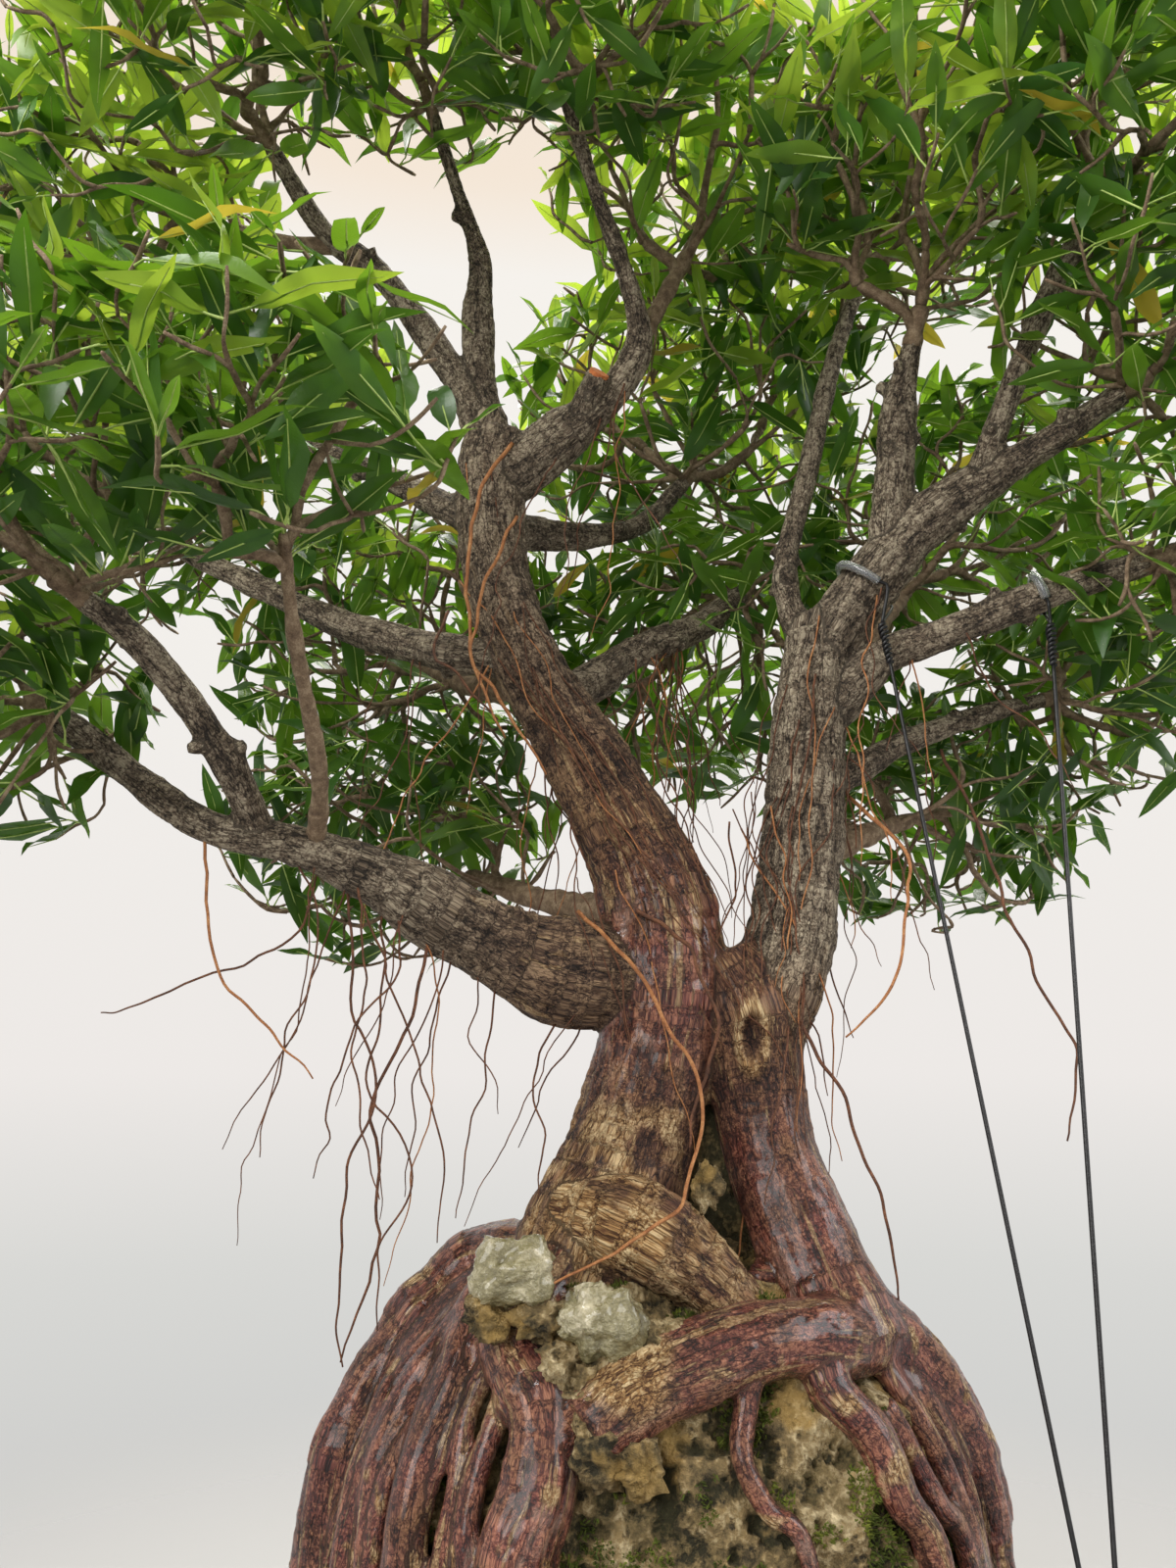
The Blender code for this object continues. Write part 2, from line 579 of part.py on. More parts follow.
def grow_twigs(name, rng, count):
    # Each target point in the mass is reached from the place on the twigs that costs least.
    middle, reach = balls[name]
    stem, first_fork = stem_of(name)
    spots = [point[:3] for point in stem]
    parents = list(range(-1, len(stem) - 1))
    headings = [stem[1, :3] - stem[0, :3]] + [b[:3] - a[:3] for a, b in zip(stem, stem[1:])]
    travelled = [0.0]
    for a, b in zip(stem, stem[1:]):
        travelled.append(travelled[-1] + np.linalg.norm(b[:3] - a[:3]))
    targets = []
    while len(targets) < count:
        tries = []
        while len(tries) < 10:
            spot = rng.normal(size=3)
            spot *= rng.uniform(0.3, 0.66) / np.linalg.norm(spot)
            spot = (middle + spot * reach) * (1, 1, flatten)
            if room(name, [spot]) > 5 * mm:
                tries.append(spot)
        apart = [min([np.linalg.norm(spot - other) for other in targets + [spots[-1]]]) for spot in tries]
        targets.append(tries[int(np.argmax(apart))])
    targets.sort(key=lambda spot: np.linalg.norm(spot - spots[-1]))
    taken = []
    for target in targets:
        costs = []
        for i in range(first_fork, len(spots)):
            way = target - spots[i]
            far = np.linalg.norm(way)
            bend = 1 - way @ headings[i] / (far * np.linalg.norm(headings[i]) + 1e-9)
            costs.append(far * (1 + 0.35 * bend) + 0.25 * travelled[i])
        source = first_fork + int(np.argmin(costs))
        way = target - spots[source]
        far = np.linalg.norm(way)
        pieces = 2 if far > twig_step * mm else 1
        heading = headings[source] / np.linalg.norm(headings[source])
        control = spots[source] + heading * 0.35 * far + np.array((0, 0, 0.04 * far))
        shares = np.arange(1, pieces + 1) / pieces
        added = [(1 - t) ** 2 * spots[source] + 2 * t * (1 - t) * control + t * t * target for t in shares]
        tests = [spots[source] + (target - spots[source]) * t for t in (0.5, 0.8)] + added
        if room(name, added) < 3 * mm or clearance(tests, limb_ends) < 3 * mm or clearance(tests, taken) < 3 * mm:
            continue
        for spot in added:
            last = source
            taken.append((*spots[last], 0, *spot, 0))
            spots.append(spot)
            parents.append(last)
            headings.append(spot - spots[last])
            travelled.append(travelled[last] + np.linalg.norm(spot - spots[last]))
            source = len(spots) - 1
    return stem, np.array(spots), parents


def twig_radii(stem, parents):
    # A twig is as thick as the tips that it feeds, up to the stem's own radius.
    fed = [0] * len(parents)
    for i in range(len(parents) - 1, -1, -1):
        fed[i] = max(fed[i], 1)
        if parents[i] >= 0:
            fed[parents[i]] += fed[i]
    radii = [twig_tip * mm * count ** 0.42 for count in fed]
    for i, point in enumerate(stem):
        radii[i] = point[3]
    return [min(radius, radii[parents[i]]) if parents[i] >= 0 else radius for i, radius in enumerate(radii)]


def leaf_frame(base, heading, rng):
    # Length along the heading, flat side up.
    heading = Vector(heading).normalized()
    side = heading.cross(Vector((0, 0, 1)) + 0.5 * Vector(rng.normal(size=3))).normalized()
    flat = side.cross(heading)
    return Matrix.Translation(base) @ Matrix((heading, side, flat)).transposed().to_4x4()


def leaf_corners(frame, length, width):
    return [frame @ Vector(spot) for spot in ((0.12 * length, 0, 0), (0.3 * length, 0, 0), (0.75 * length, 0, 0),
                                              (length, 0, 0), (length / 2, width / 2, 0),
                                              (length / 2, -width / 2, 0))]


def piece(name, shape):
    mesh = bpy.data.meshes.new(name)
    shape.to_mesh(mesh)
    shape.free()
    made = bpy.data.objects.new(name, mesh)
    plant.objects.link(made)
    return made


def leaf_piece(frame, length, width):
    # An octahedron drawn out to a leaf.
    shape = bmesh.new()
    scale = Matrix.Diagonal((length / 2, width / 2, leaf_thickness / 2 * mm, 1))
    turn = Matrix.Rotation(math.pi / 2, 4, "Y")
    bmesh.ops.create_uvsphere(shape, u_segments=4, v_segments=2, radius=1,
                              matrix=frame @ Matrix.Translation((length / 2, 0, 0)) @ scale @ turn)
    bmesh.ops.recalc_face_normals(shape, faces=shape.faces)
    return piece("leaf", shape)


def twig_paths(spots, parents, radii):
    # The twigs as long runs: each goes from an end back to the first place that an earlier run has taken.
    used = set()
    runs = []
    for end in [i for i in range(len(spots)) if i not in parents]:
        run = [end]
        while parents[run[-1]] >= 0 and run[-1] not in used:
            run.append(parents[run[-1]])
        used.update(run)
        run.reverse()
        thickness = [radii[i] for i in run]
        if runs:
            thickness[0] = min(thickness[1] * 1.1, fork_share * radii[run[0]])
            thickness[1:] = [min(radius, thickness[0]) for radius in thickness[1:]]
        runs.append([(*spots[i], radius) for i, radius in zip(run, thickness)])
    return runs


def blade_faces(frame, length, width):
    # The leaf's flat outline past its root, as two triangles.
    root, left, right, end = (frame @ Vector(spot) for spot in ((0.1 * length, 0, 0), (length / 2, width / 2, 0),
                                                                (length / 2, -width / 2, 0), (length, 0, 0)))
    return [(root, left, right), (left, right, end)]


def twig_faces(start, end):
    # A twig as three long triangles round its middle line.
    ring = [Vector((0, 0, 1.5 * mm)), Vector((1.3 * mm, 0.8 * mm, 0)), Vector((-1.3 * mm, 0.8 * mm, 0))]
    return [(Vector(start) + ring[i], Vector(start) + ring[i - 1], Vector(end)) for i in range(3)]


def as_tree(faces):
    corners = [corner for face in faces for corner in face]
    return BVHTree.FromPolygons(corners, [(i, i + 1, i + 2) for i in range(0, len(corners), 3)])


def grow_leaves(name, rng, spots, parents, count):
    # One leaf goes on from each twig's end; the rest stand out in turn along its last stretch.
    ends = [i for i in range(len(spots)) if i not in parents]
    wood = {i: twig_faces(spots[parents[i]], spots[i]) for i in range(len(spots)) if parents[i] >= 0}
    blades = []
    placed = []
    for turn in range(leaf_tries):
        for i in ends:
            if len(placed) >= count or parents[i] < 0:
                break
            along = spots[i] - spots[parents[i]]
            reach = np.linalg.norm(along)
            along /= reach
            back = min((3 + leaf_spacing * (turn % 7)) * mm, 0.9 * reach)
            base = spots[i] - along * back
            spin = turn * 2.4 + rng.uniform(-0.4, 0.4)
            cross = np.cross(along, (0.1, 0.2, 1))
            cross /= np.linalg.norm(cross)
            other = np.cross(along, cross)
            spread = 0.1 if turn % 7 == 0 else rng.uniform(0.7, 1.3)
            heading = along + spread * (cross * math.cos(spin) + other * math.sin(spin)) - (0, 0, 0.1)
            length = leaf_length * mm * rng.uniform(0.86, 1.06)
            frame = leaf_frame(base, heading, rng)
            corners = leaf_corners(frame, length, leaf_width * mm)
            faces = blade_faces(frame, length, leaf_width * mm)
            rest = blades + [face for j, twig in wood.items() if j != i for face in twig]
            clear = clearance(corners, limb_ends) > 1.5 * mm and room(name, corners) > 0.8 * mm
            if clear and not (rest and as_tree(faces).overlap(as_tree(rest))):
                placed.append((frame, length))
                blades += faces
    return placed


def make_mass(name, seed):
    rng = np.random.default_rng(seed)
    reach = balls[name][1]
    size = (reach / (mean_reach * mm)) ** 1.6
    stem, spots, parents = grow_twigs(name, rng, max(5, round(5 * size)))
    radii = twig_radii(stem, parents)
    leaves = grow_leaves(name, rng, spots, parents, round(leaves_per_ball * size))
    runs = [tube("twig", run, 6 if run[0][3] > 3 * mm else 4) for run in twig_paths(spots, parents, radii)]
    blades = [leaf_piece(frame, length, leaf_width * mm) for frame, length in leaves]
    mass = runs.pop(0)
    mass.name = name
    boolean(mass, runs + blades, "UNION", "MANIFOLD")
    if masses[name][3]:
        source = masses[name][2]
        boolean(mass, wood_cutters(stems if source == "main" else [source]), "DIFFERENCE", "MANIFOLD")
    keep_largest(mass)
    finish(mass, foliage)
    print(name, len(leaves), "leaves", len(runs), "twigs", len(mass.data.polygons), "faces")


# ---- the whole plant ----
for stem_name, stem_route in stems.items():
    plan_limb(stem_name, stem_route, 2 if stem_name == "main" else 1, 8 if stem_name == "knee" else 12)
plan_limb("right_stem", right_stem, 1, 12)
for bough_name, (bough_near, bough_route) in boughs.items():
    plan_limb(bough_name, bough_route, 2 if bough_route[0][3] > 12 else 1, 8 if bough_route[0][3] > 8 else 6)
make_tray()
make_soil()
finish(make_rock("rock"), stone)
make_trunk()
make_roots()
make_boughs()
make_air_roots()
make_guys()
limb_ends = np.vstack([np.hstack([line[:-1], line[1:]]) for line in limb_lines.values()])
for order, mass_name in enumerate(masses):
    make_mass(mass_name, 40 + order)
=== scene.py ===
# Willow-leaf fig grown over a rock, in a clay tray: the finished look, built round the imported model.
import math
import bpy
import numpy as np
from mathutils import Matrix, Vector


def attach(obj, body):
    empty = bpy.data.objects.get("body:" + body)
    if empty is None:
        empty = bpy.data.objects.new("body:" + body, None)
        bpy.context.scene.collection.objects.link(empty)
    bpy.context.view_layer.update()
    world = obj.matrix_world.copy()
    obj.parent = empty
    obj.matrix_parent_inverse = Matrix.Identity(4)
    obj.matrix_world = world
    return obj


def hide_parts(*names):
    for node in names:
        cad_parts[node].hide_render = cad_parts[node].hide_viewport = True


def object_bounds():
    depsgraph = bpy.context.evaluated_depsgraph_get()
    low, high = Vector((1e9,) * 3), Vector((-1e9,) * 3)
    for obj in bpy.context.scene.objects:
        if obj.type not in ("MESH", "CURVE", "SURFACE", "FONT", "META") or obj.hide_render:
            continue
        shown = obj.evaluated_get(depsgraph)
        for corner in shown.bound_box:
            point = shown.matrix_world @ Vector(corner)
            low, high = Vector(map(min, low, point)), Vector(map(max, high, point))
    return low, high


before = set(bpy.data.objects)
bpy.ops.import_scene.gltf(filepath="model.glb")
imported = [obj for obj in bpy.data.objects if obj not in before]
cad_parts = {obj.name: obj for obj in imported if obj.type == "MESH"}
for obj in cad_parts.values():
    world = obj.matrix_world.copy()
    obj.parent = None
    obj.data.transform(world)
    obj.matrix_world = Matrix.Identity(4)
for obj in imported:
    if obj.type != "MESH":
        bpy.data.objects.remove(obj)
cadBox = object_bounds()
mm = 0.001
print("frame loaded")

# arrays and meshes


def latticeNoise(points, seed=0):  # smooth noise between -1 and 1, one value for each point
    cell = np.floor(points).astype(np.int64)
    part = points - cell
    part = part * part * (3 - 2 * part)
    total = np.zeros(len(points))
    for corner in range(8):
        step = np.array((corner & 1, corner >> 1 & 1, corner >> 2 & 1))
        key = (cell + step) @ np.array((73856093, 19349663, 83492791)) + seed * 9176213
        key = (key ^ (key >> 13)) * 1274126177
        key = key ^ (key >> 16)
        weight = np.prod(np.where(step, part, 1 - part), axis=-1)
        total += ((key & 65535) / 32767.5 - 1) * weight
    return total


def layeredNoise(points, seed=0, layers=3):
    total = np.zeros(len(points))
    for layer in range(layers):
        total += latticeNoise(points * 2.03 ** layer, seed + layer) * 0.5 ** layer
    return total


def easeStep(low, high, value):
    share = np.clip((value - low) / (high - low), 0, 1)
    return share * share * (3 - 2 * share)


def unit(vectors):
    vectors = np.asarray(vectors, float)
    return vectors / (np.linalg.norm(vectors, axis=-1, keepdims=True) + 1e-12)


def smoothRoute(route, steps):  # a curve through the route's points, with the radius as a fourth value
    knots = np.array(route, float)
    knots = np.vstack([2 * knots[0] - knots[1], knots, 2 * knots[-1] - knots[-2]])
    shares = (np.arange(steps) / steps)[:, None]
    points = []
    for i in range(1, len(knots) - 2):
        a, b, c, d = knots[i - 1:i + 3]
        points.append(0.5 * (2 * b + (c - a) * shares + (2 * a - 5 * b + 4 * c - d) * shares ** 2
                             + (3 * b - a - 3 * c + d) * shares ** 3))
    points.append(knots[-2:-1])
    return np.vstack(points)


def limbFrames(line):  # directions along and across a line, turned as little as can be on the way
    along = unit(np.gradient(line[:, :3], axis=0))
    across = np.empty_like(along)
    side = np.cross(along[0], (0.31, 0.92, 0.17))
    for i, way in enumerate(along):
        side = side - way * (side @ way)
        side /= np.linalg.norm(side)
        across[i] = side
    return along, across, np.cross(along, across)


def tubeParts(line, sides):  # a closed tube along (x, y, z, radius): its points, quads and triangles
    _, across, other = limbFrames(line)
    turn = np.linspace(0, 2 * math.pi, sides, endpoint=False)[:, None]
    rings = across[:, None] * np.cos(turn) + other[:, None] * np.sin(turn)
    points = (line[:, None, :3] + rings * line[:, None, 3:4]).reshape(-1, 3)
    here = np.arange(sides)
    after = (here + 1) % sides
    base = (np.arange(len(line) - 1) * sides)[:, None]
    quads = np.stack([base + here, base + after, base + sides + after, base + sides + here], axis=-1)
    top = (len(line) - 1) * sides
    foot = np.stack([np.full(sides, len(points)), after, here], axis=-1)
    head = np.stack([np.full(sides, len(points) + 1), top + here, top + after], axis=-1)
    points = np.vstack([points, line[0, :3], line[-1, :3]])
    return points, quads.reshape(-1, 4), np.vstack([foot, head])


def joinParts(parts):
    points, quads, triangles = [], [], []
    shift = 0
    for spots, fours, threes in parts:
        points.append(spots)
        quads.append(np.asarray(fours, int).reshape(-1, 4) + shift)
        triangles.append(np.asarray(threes, int).reshape(-1, 3) + shift)
        shift += len(spots)
    return np.vstack(points), np.vstack(quads), np.vstack(triangles)


def pieceFrom(name, parts, material=None, smooth=True):
    points, quads, triangles = joinParts(parts)
    loops = np.concatenate([quads.ravel(), triangles.ravel()])
    starts = np.concatenate([np.arange(len(quads)) * 4, len(quads) * 4 + np.arange(len(triangles)) * 3])
    mesh = bpy.data.meshes.new(name)
    mesh.vertices.add(len(points))
    mesh.vertices.foreach_set("co", points.ravel())
    mesh.loops.add(len(loops))
    mesh.loops.foreach_set("vertex_index", loops)
    mesh.polygons.add(len(starts))
    mesh.polygons.foreach_set("loop_start", starts)
    mesh.update(calc_edges=True)
    mesh.validate()
    if smooth:
        mesh.shade_smooth()
    else:
        mesh.shade_flat()
    piece = bpy.data.objects.new(name, mesh)
    bpy.context.scene.collection.objects.link(piece)
    if material:
        mesh.materials.append(material)
    return piece


def settle(piece, slotName, *nodes):  # rides on the plant's one body and stands for the nodes
    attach(piece, "root")
    if nodes:
        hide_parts(*nodes)


def meshPoints(mesh):
    points = np.empty(len(mesh.vertices) * 3)
    mesh.vertices.foreach_get("co", points)
    return points.reshape(-1, 3)


def meshNormals(mesh):
    normals = np.empty(len(mesh.vertices) * 3)
    mesh.vertex_normals.foreach_get("vector", normals)
    return normals.reshape(-1, 3)


def gridMesh(name, parts, voxel):  # one skin round all the parts, as evenly spaced quads
    rough = pieceFrom(name, parts)
    remesh = rough.modifiers.new("skin", "REMESH")
    remesh.mode = "VOXEL"
    remesh.voxel_size = voxel
    bpy.context.view_layer.update()
    made = bpy.data.meshes.new_from_object(rough.evaluated_get(bpy.context.evaluated_depsgraph_get()))
    bpy.data.objects.remove(rough)
    return made


def relaxed(mesh, rounds, share=0.5):  # evens out the points between their neighbours
    points = meshPoints(mesh)
    edges = np.empty(len(mesh.edges) * 2, int)
    mesh.edges.foreach_get("vertices", edges)
    ends = np.concatenate([edges.reshape(-1, 2), edges.reshape(-1, 2)[:, ::-1]])
    count = np.bincount(ends[:, 0], minlength=len(points))[:, None]
    for _ in range(rounds):
        total = np.stack([np.bincount(ends[:, 0], points[ends[:, 1], i], len(points)) for i in range(3)],
                         axis=1)
        points = points + (total / np.maximum(count, 1) - points) * share
    return points


def addAttribute(mesh, name, values):
    kind = "FLOAT_VECTOR" if values.ndim == 2 else "FLOAT"
    layer = mesh.attributes.new(name, kind, "POINT")
    layer.data.foreach_set("vector" if values.ndim == 2 else "value", values.astype(np.float32).ravel())


# shader building


def feed(tree, socket, value):
    if isinstance(value, bpy.types.NodeSocket):
        tree.links.new(value, socket)
    else:
        socket.default_value = value


def addNode(tree, kind, values=None, **settings):
    node = tree.nodes.new(kind)
    for name, value in settings.items():
        setattr(node, name, value)
    for name, value in (values or {}).items():
        feed(tree, node.inputs[name], value)
    return node


def newGroup(name, takes, gives):
    group = bpy.data.node_groups.new(name, "ShaderNodeTree")
    kinds = {"Vector": "NodeSocketVector", "Stretch": "NodeSocketVector", "Dark": "NodeSocketColor",
             "Middle": "NodeSocketColor", "Light": "NodeSocketColor", "Color": "NodeSocketColor"}
    for socket in takes:
        group.interface.new_socket(name=socket, in_out="INPUT",
                                   socket_type=kinds.get(socket, "NodeSocketFloat"))
    for socket in gives:
        group.interface.new_socket(name=socket, in_out="OUTPUT",
                                   socket_type=kinds.get(socket, "NodeSocketFloat"))
    return group, group.nodes.new("NodeGroupInput"), group.nodes.new("NodeGroupOutput")


def useGroup(tree, group, **values):
    node = addNode(tree, "ShaderNodeGroup", node_tree=group)
    for name, value in values.items():
        feed(tree, node.inputs[name], value)
    return node


def reckon(tree, operation, *terms):
    node = addNode(tree, "ShaderNodeMath", operation=operation)
    for socket, term in zip(node.inputs, terms):
        feed(tree, socket, term)
    return node.outputs[0]


def mixColours(tree, factor, first, second):
    node = addNode(tree, "ShaderNodeMix", data_type="RGBA")
    feed(tree, node.inputs[0], factor)
    feed(tree, node.inputs[6], first)
    feed(tree, node.inputs[7], second)
    return node.outputs[2]


def makeFlecks():  # soft spots or streaks of noise, cut between a low and a high level
    group, takes, gives = newGroup("Flecks", ("Vector", "Stretch", "Scale", "Detail", "Low", "High"),
                                   ("Mask",))
    drawn = addNode(group, "ShaderNodeVectorMath", operation="MULTIPLY")
    group.links.new(takes.outputs["Vector"], drawn.inputs[0])
    group.links.new(takes.outputs["Stretch"], drawn.inputs[1])
    noise = addNode(group, "ShaderNodeTexNoise", {"Vector": drawn.outputs[0], "Scale": takes.outputs["Scale"],
                                                  "Detail": takes.outputs["Detail"], "Roughness": 0.6})
    level = addNode(group, "ShaderNodeMapRange",
                    {"Value": noise.outputs["Fac"], "From Min": takes.outputs["Low"],
                     "From Max": takes.outputs["High"]}, interpolation_type="SMOOTHSTEP")
    group.links.new(level.outputs["Result"], gives.inputs["Mask"])
    return group


def makeCracks():  # a net of cracks: Mask is 1 in a crack, Height falls into it
    group, takes, gives = newGroup("Cracks", ("Vector", "Stretch", "Scale", "Width", "Wander"),
                                   ("Mask", "Height"))
    drawn = addNode(group, "ShaderNodeVectorMath", operation="MULTIPLY")
    group.links.new(takes.outputs["Vector"], drawn.inputs[0])
    group.links.new(takes.outputs["Stretch"], drawn.inputs[1])
    noise = addNode(group, "ShaderNodeTexNoise", {"Vector": drawn.outputs[0], "Scale": takes.outputs["Scale"],
                                                  "Detail": 4.0})
    bent = addNode(group, "ShaderNodeVectorMath", operation="SCALE")
    group.links.new(noise.outputs["Color"], bent.inputs[0])
    group.links.new(takes.outputs["Wander"], bent.inputs["Scale"])
    moved = addNode(group, "ShaderNodeVectorMath", operation="ADD")
    group.links.new(drawn.outputs[0], moved.inputs[0])
    group.links.new(bent.outputs[0], moved.inputs[1])
    net = addNode(group, "ShaderNodeTexVoronoi",
                  {"Vector": moved.outputs[0], "Scale": takes.outputs["Scale"]},
                  feature="DISTANCE_TO_EDGE")
    level = addNode(group, "ShaderNodeMapRange",
                    {"Value": net.outputs["Distance"], "From Max": takes.outputs["Width"]},
                    interpolation_type="SMOOTHSTEP")
    group.links.new(level.outputs["Result"], gives.inputs["Height"])
    group.links.new(reckon(group, "SUBTRACT", 1.0, level.outputs["Result"]), gives.inputs["Mask"])
    return group


def makeTones():  # dark, middle and light colours along a factor from 0 to 1
    group, takes, gives = newGroup("Tones", ("Factor", "Dark", "Middle", "Light"), ("Color",))
    lower = reckon(group, "MULTIPLY", takes.outputs["Factor"], 2.0)
    upper = reckon(group, "SUBTRACT", lower, 1.0)
    limits = []
    for value in (lower, upper):
        limits.append(addNode(group, "ShaderNodeClamp", {"Value": value}).outputs[0])
    first = mixColours(group, limits[0], takes.outputs["Dark"], takes.outputs["Middle"])
    group.links.new(mixColours(group, limits[1], first, takes.outputs["Light"]), gives.inputs["Color"])
    return group


flecks = makeFlecks()
cracks = makeCracks()
tones = makeTones()


def newMaterial(name, values):
    material = bpy.data.materials.new(name)
    material.use_nodes = True
    shader = material.node_tree.nodes["Principled BSDF"]
    for socket, value in values.items():
        shader.inputs[socket].default_value = value
    return material, material.node_tree, shader


def addBump(tree, shader, height, strength, distance):
    bump = addNode(tree, "ShaderNodeBump", {"Height": height, "Strength": strength, "Distance": distance})
    tree.links.new(bump.outputs["Normal"], shader.inputs["Normal"])


def readAttribute(tree, name, output):
    return addNode(tree, "ShaderNodeAttribute", attribute_name=name).outputs[output]


def rgb(red, green, blue):  # a colour as seen on screen, 0 to 255, made linear
    return tuple(((part / 255 + 0.055) / 1.055) ** 2.4 if part > 10 else part / 255 / 12.92
                 for part in (red, green, blue)) + (1.0,)


# materials
barkLook = {"greyDark": rgb(50, 42, 34), "greyMiddle": rgb(118, 102, 84), "greyLight": rgb(184, 170, 146),
            "brownDark": rgb(34, 22, 20), "brownMiddle": rgb(88, 60, 46), "brownLight": rgb(150, 114, 80),
            "redDark": rgb(46, 18, 20), "redMiddle": rgb(116, 48, 42), "redLight": rgb(186, 118, 94),
            "strip": rgb(214, 182, 134), "stripDark": rgb(140, 98, 60), "tanDark": rgb(92, 58, 34),
            "tanMiddle": rgb(182, 140, 88), "tanLight": rgb(234, 208, 160), "pale": rgb(214, 176, 156)}


def makeBark():  # follows each limb by its own lengthwise coordinates; masks redden or tan it
    look = barkLook
    material, tree, shader = newMaterial("barkSkin", {"Specular IOR Level": 0.45, "Coat Roughness": 0.13})
    space = readAttribute(tree, "limbSpace", "Vector")
    relief = readAttribute(tree, "relief", "Fac")
    red = readAttribute(tree, "red", "Fac")
    tan = readAttribute(tree, "tan", "Fac")
    wet = readAttribute(tree, "wet", "Fac")
    streak = useGroup(tree, flecks, Vector=space, Stretch=(0.24, 1, 1), Scale=250.0, Detail=9.0, Low=0.3,
                      High=0.7)
    grit = useGroup(tree, flecks, Vector=space, Stretch=(1, 1, 1), Scale=900.0, Detail=5.0, Low=0.32,
                    High=0.68)
    rings = useGroup(tree, flecks, Vector=space, Stretch=(1, 0.25, 0.25), Scale=400.0, Detail=6.0, Low=0.4,
                     High=0.62)
    net = useGroup(tree, cracks, Vector=space, Stretch=(0.3, 1, 1), Scale=170.0, Width=0.07, Wander=0.016)
    fine = useGroup(tree, cracks, Vector=space, Stretch=(0.6, 1, 1), Scale=430.0, Width=0.12, Wander=0.007)
    broad = useGroup(tree, flecks, Vector=space, Stretch=(0.13, 1, 1), Scale=140.0, Detail=13.0, Low=0.585,
                     High=0.6)
    thin = useGroup(tree, flecks, Vector=space, Stretch=(0.1, 1, 1), Scale=250.0, Detail=8.0, Low=0.6,
                    High=0.64)
    blend = 0.02
    # the tone rises with the relief and drops in the crack nets: partly the bark's own tone, partly painted
    # highlight on raised bark and painted shade in its cracks
    for mask, share in ((streak, 0.26), (grit, 0.36), (rings, 0.2)):
        blend = reckon(tree, "ADD", blend, reckon(tree, "MULTIPLY", mask.outputs["Mask"], share))
    blend = reckon(tree, "ADD", blend, reckon(tree, "MULTIPLY", relief, 0.42))
    for mask, share in ((net, 0.36), (fine, 0.3)):
        blend = reckon(tree, "SUBTRACT", blend, reckon(tree, "MULTIPLY", mask.outputs["Mask"], share))
    blend = reckon(tree, "MULTIPLY_ADD", blend, 1.25, -0.06)
    broken = reckon(tree, "SUBTRACT", broad.outputs["Mask"],
                    reckon(tree, "MULTIPLY", net.outputs["Mask"], 0.7))
    peel = reckon(tree, "MAXIMUM", broken, reckon(tree, "MULTIPLY", thin.outputs["Mask"], 0.85))
    strip = mixColours(tree, grit.outputs["Mask"], look["stripDark"], look["strip"])
    grey = useGroup(tree, tones, Factor=blend, Dark=look["greyDark"],
                    Middle=look["greyMiddle"], Light=look["greyLight"]).outputs["Color"]
    brown = useGroup(tree, tones, Factor=blend, Dark=look["brownDark"], Middle=look["brownMiddle"],
                     Light=look["brownLight"]).outputs["Color"]
    ruddy = useGroup(tree, tones, Factor=blend, Dark=look["redDark"], Middle=look["redMiddle"],
                     Light=look["redLight"]).outputs["Color"]
    bare = useGroup(tree, flecks, Vector=space, Stretch=(0.4, 1, 1), Scale=70.0, Detail=8.0, Low=0.57,
                    High=0.68)
    ruddy = mixColours(tree, reckon(tree, "MULTIPLY", bare.outputs["Mask"], 0.6), ruddy, look["pale"])
    ruddy = mixColours(tree, wet, brown, ruddy)
    ruddy = mixColours(tree, reckon(tree, "MULTIPLY", peel, 0.82), ruddy, strip)
    sandy = useGroup(tree, tones, Factor=blend, Dark=look["tanDark"], Middle=look["tanMiddle"],
                     Light=look["tanLight"]).outputs["Color"]
    colour = mixColours(tree, red, grey, ruddy)
    colour = mixColours(tree, tan, colour, sandy)
    tree.links.new(colour, shader.inputs["Base Color"])
    rough = addNode(tree, "ShaderNodeMapRange", {"Value": wet, "To Min": 0.82, "To Max": 0.3})
    tree.links.new(reckon(tree, "MULTIPLY", wet, 0.9), shader.inputs["Coat Weight"])
    tree.links.new(rough.outputs["Result"], shader.inputs["Roughness"])
    height = 0.0
    for level, share in ((streak.outputs["Mask"], 0.5), (net.outputs["Height"], 0.5),
                         (fine.outputs["Height"], 0.3),
                         (rings.outputs["Mask"], 0.4), (grit.outputs["Mask"], 0.2), (peel, 0.5)):
        height = reckon(tree, "ADD", height, reckon(tree, "MULTIPLY", level, share))
    addBump(tree, shader, height, 1.0, 0.0014)
    return material


def makePlain(name, dark, middle, light, scale, rough, bump, detail=6.0, stretch=(1, 1, 1), values=None):
    material, tree, shader = newMaterial(name, {"Roughness": rough, **(values or {})})
    place = addNode(tree, "ShaderNodeTexCoord").outputs["Object"]
    cloud = useGroup(tree, flecks, Vector=place, Stretch=stretch, Scale=scale, Detail=detail, Low=0.28,
                     High=0.72)
    fine = useGroup(tree, flecks, Vector=place, Stretch=stretch, Scale=scale * 7, Detail=3.0, Low=0.3,
                    High=0.7)
    level = reckon(tree, "ADD", reckon(tree, "MULTIPLY", cloud.outputs["Mask"], 0.7),
                   reckon(tree, "MULTIPLY", fine.outputs["Mask"], 0.3))
    colour = useGroup(tree, tones, Factor=level, Dark=dark, Middle=middle, Light=light).outputs["Color"]
    tree.links.new(colour, shader.inputs["Base Color"])
    addBump(tree, shader, fine.outputs["Mask"], 0.5, bump)
    return material


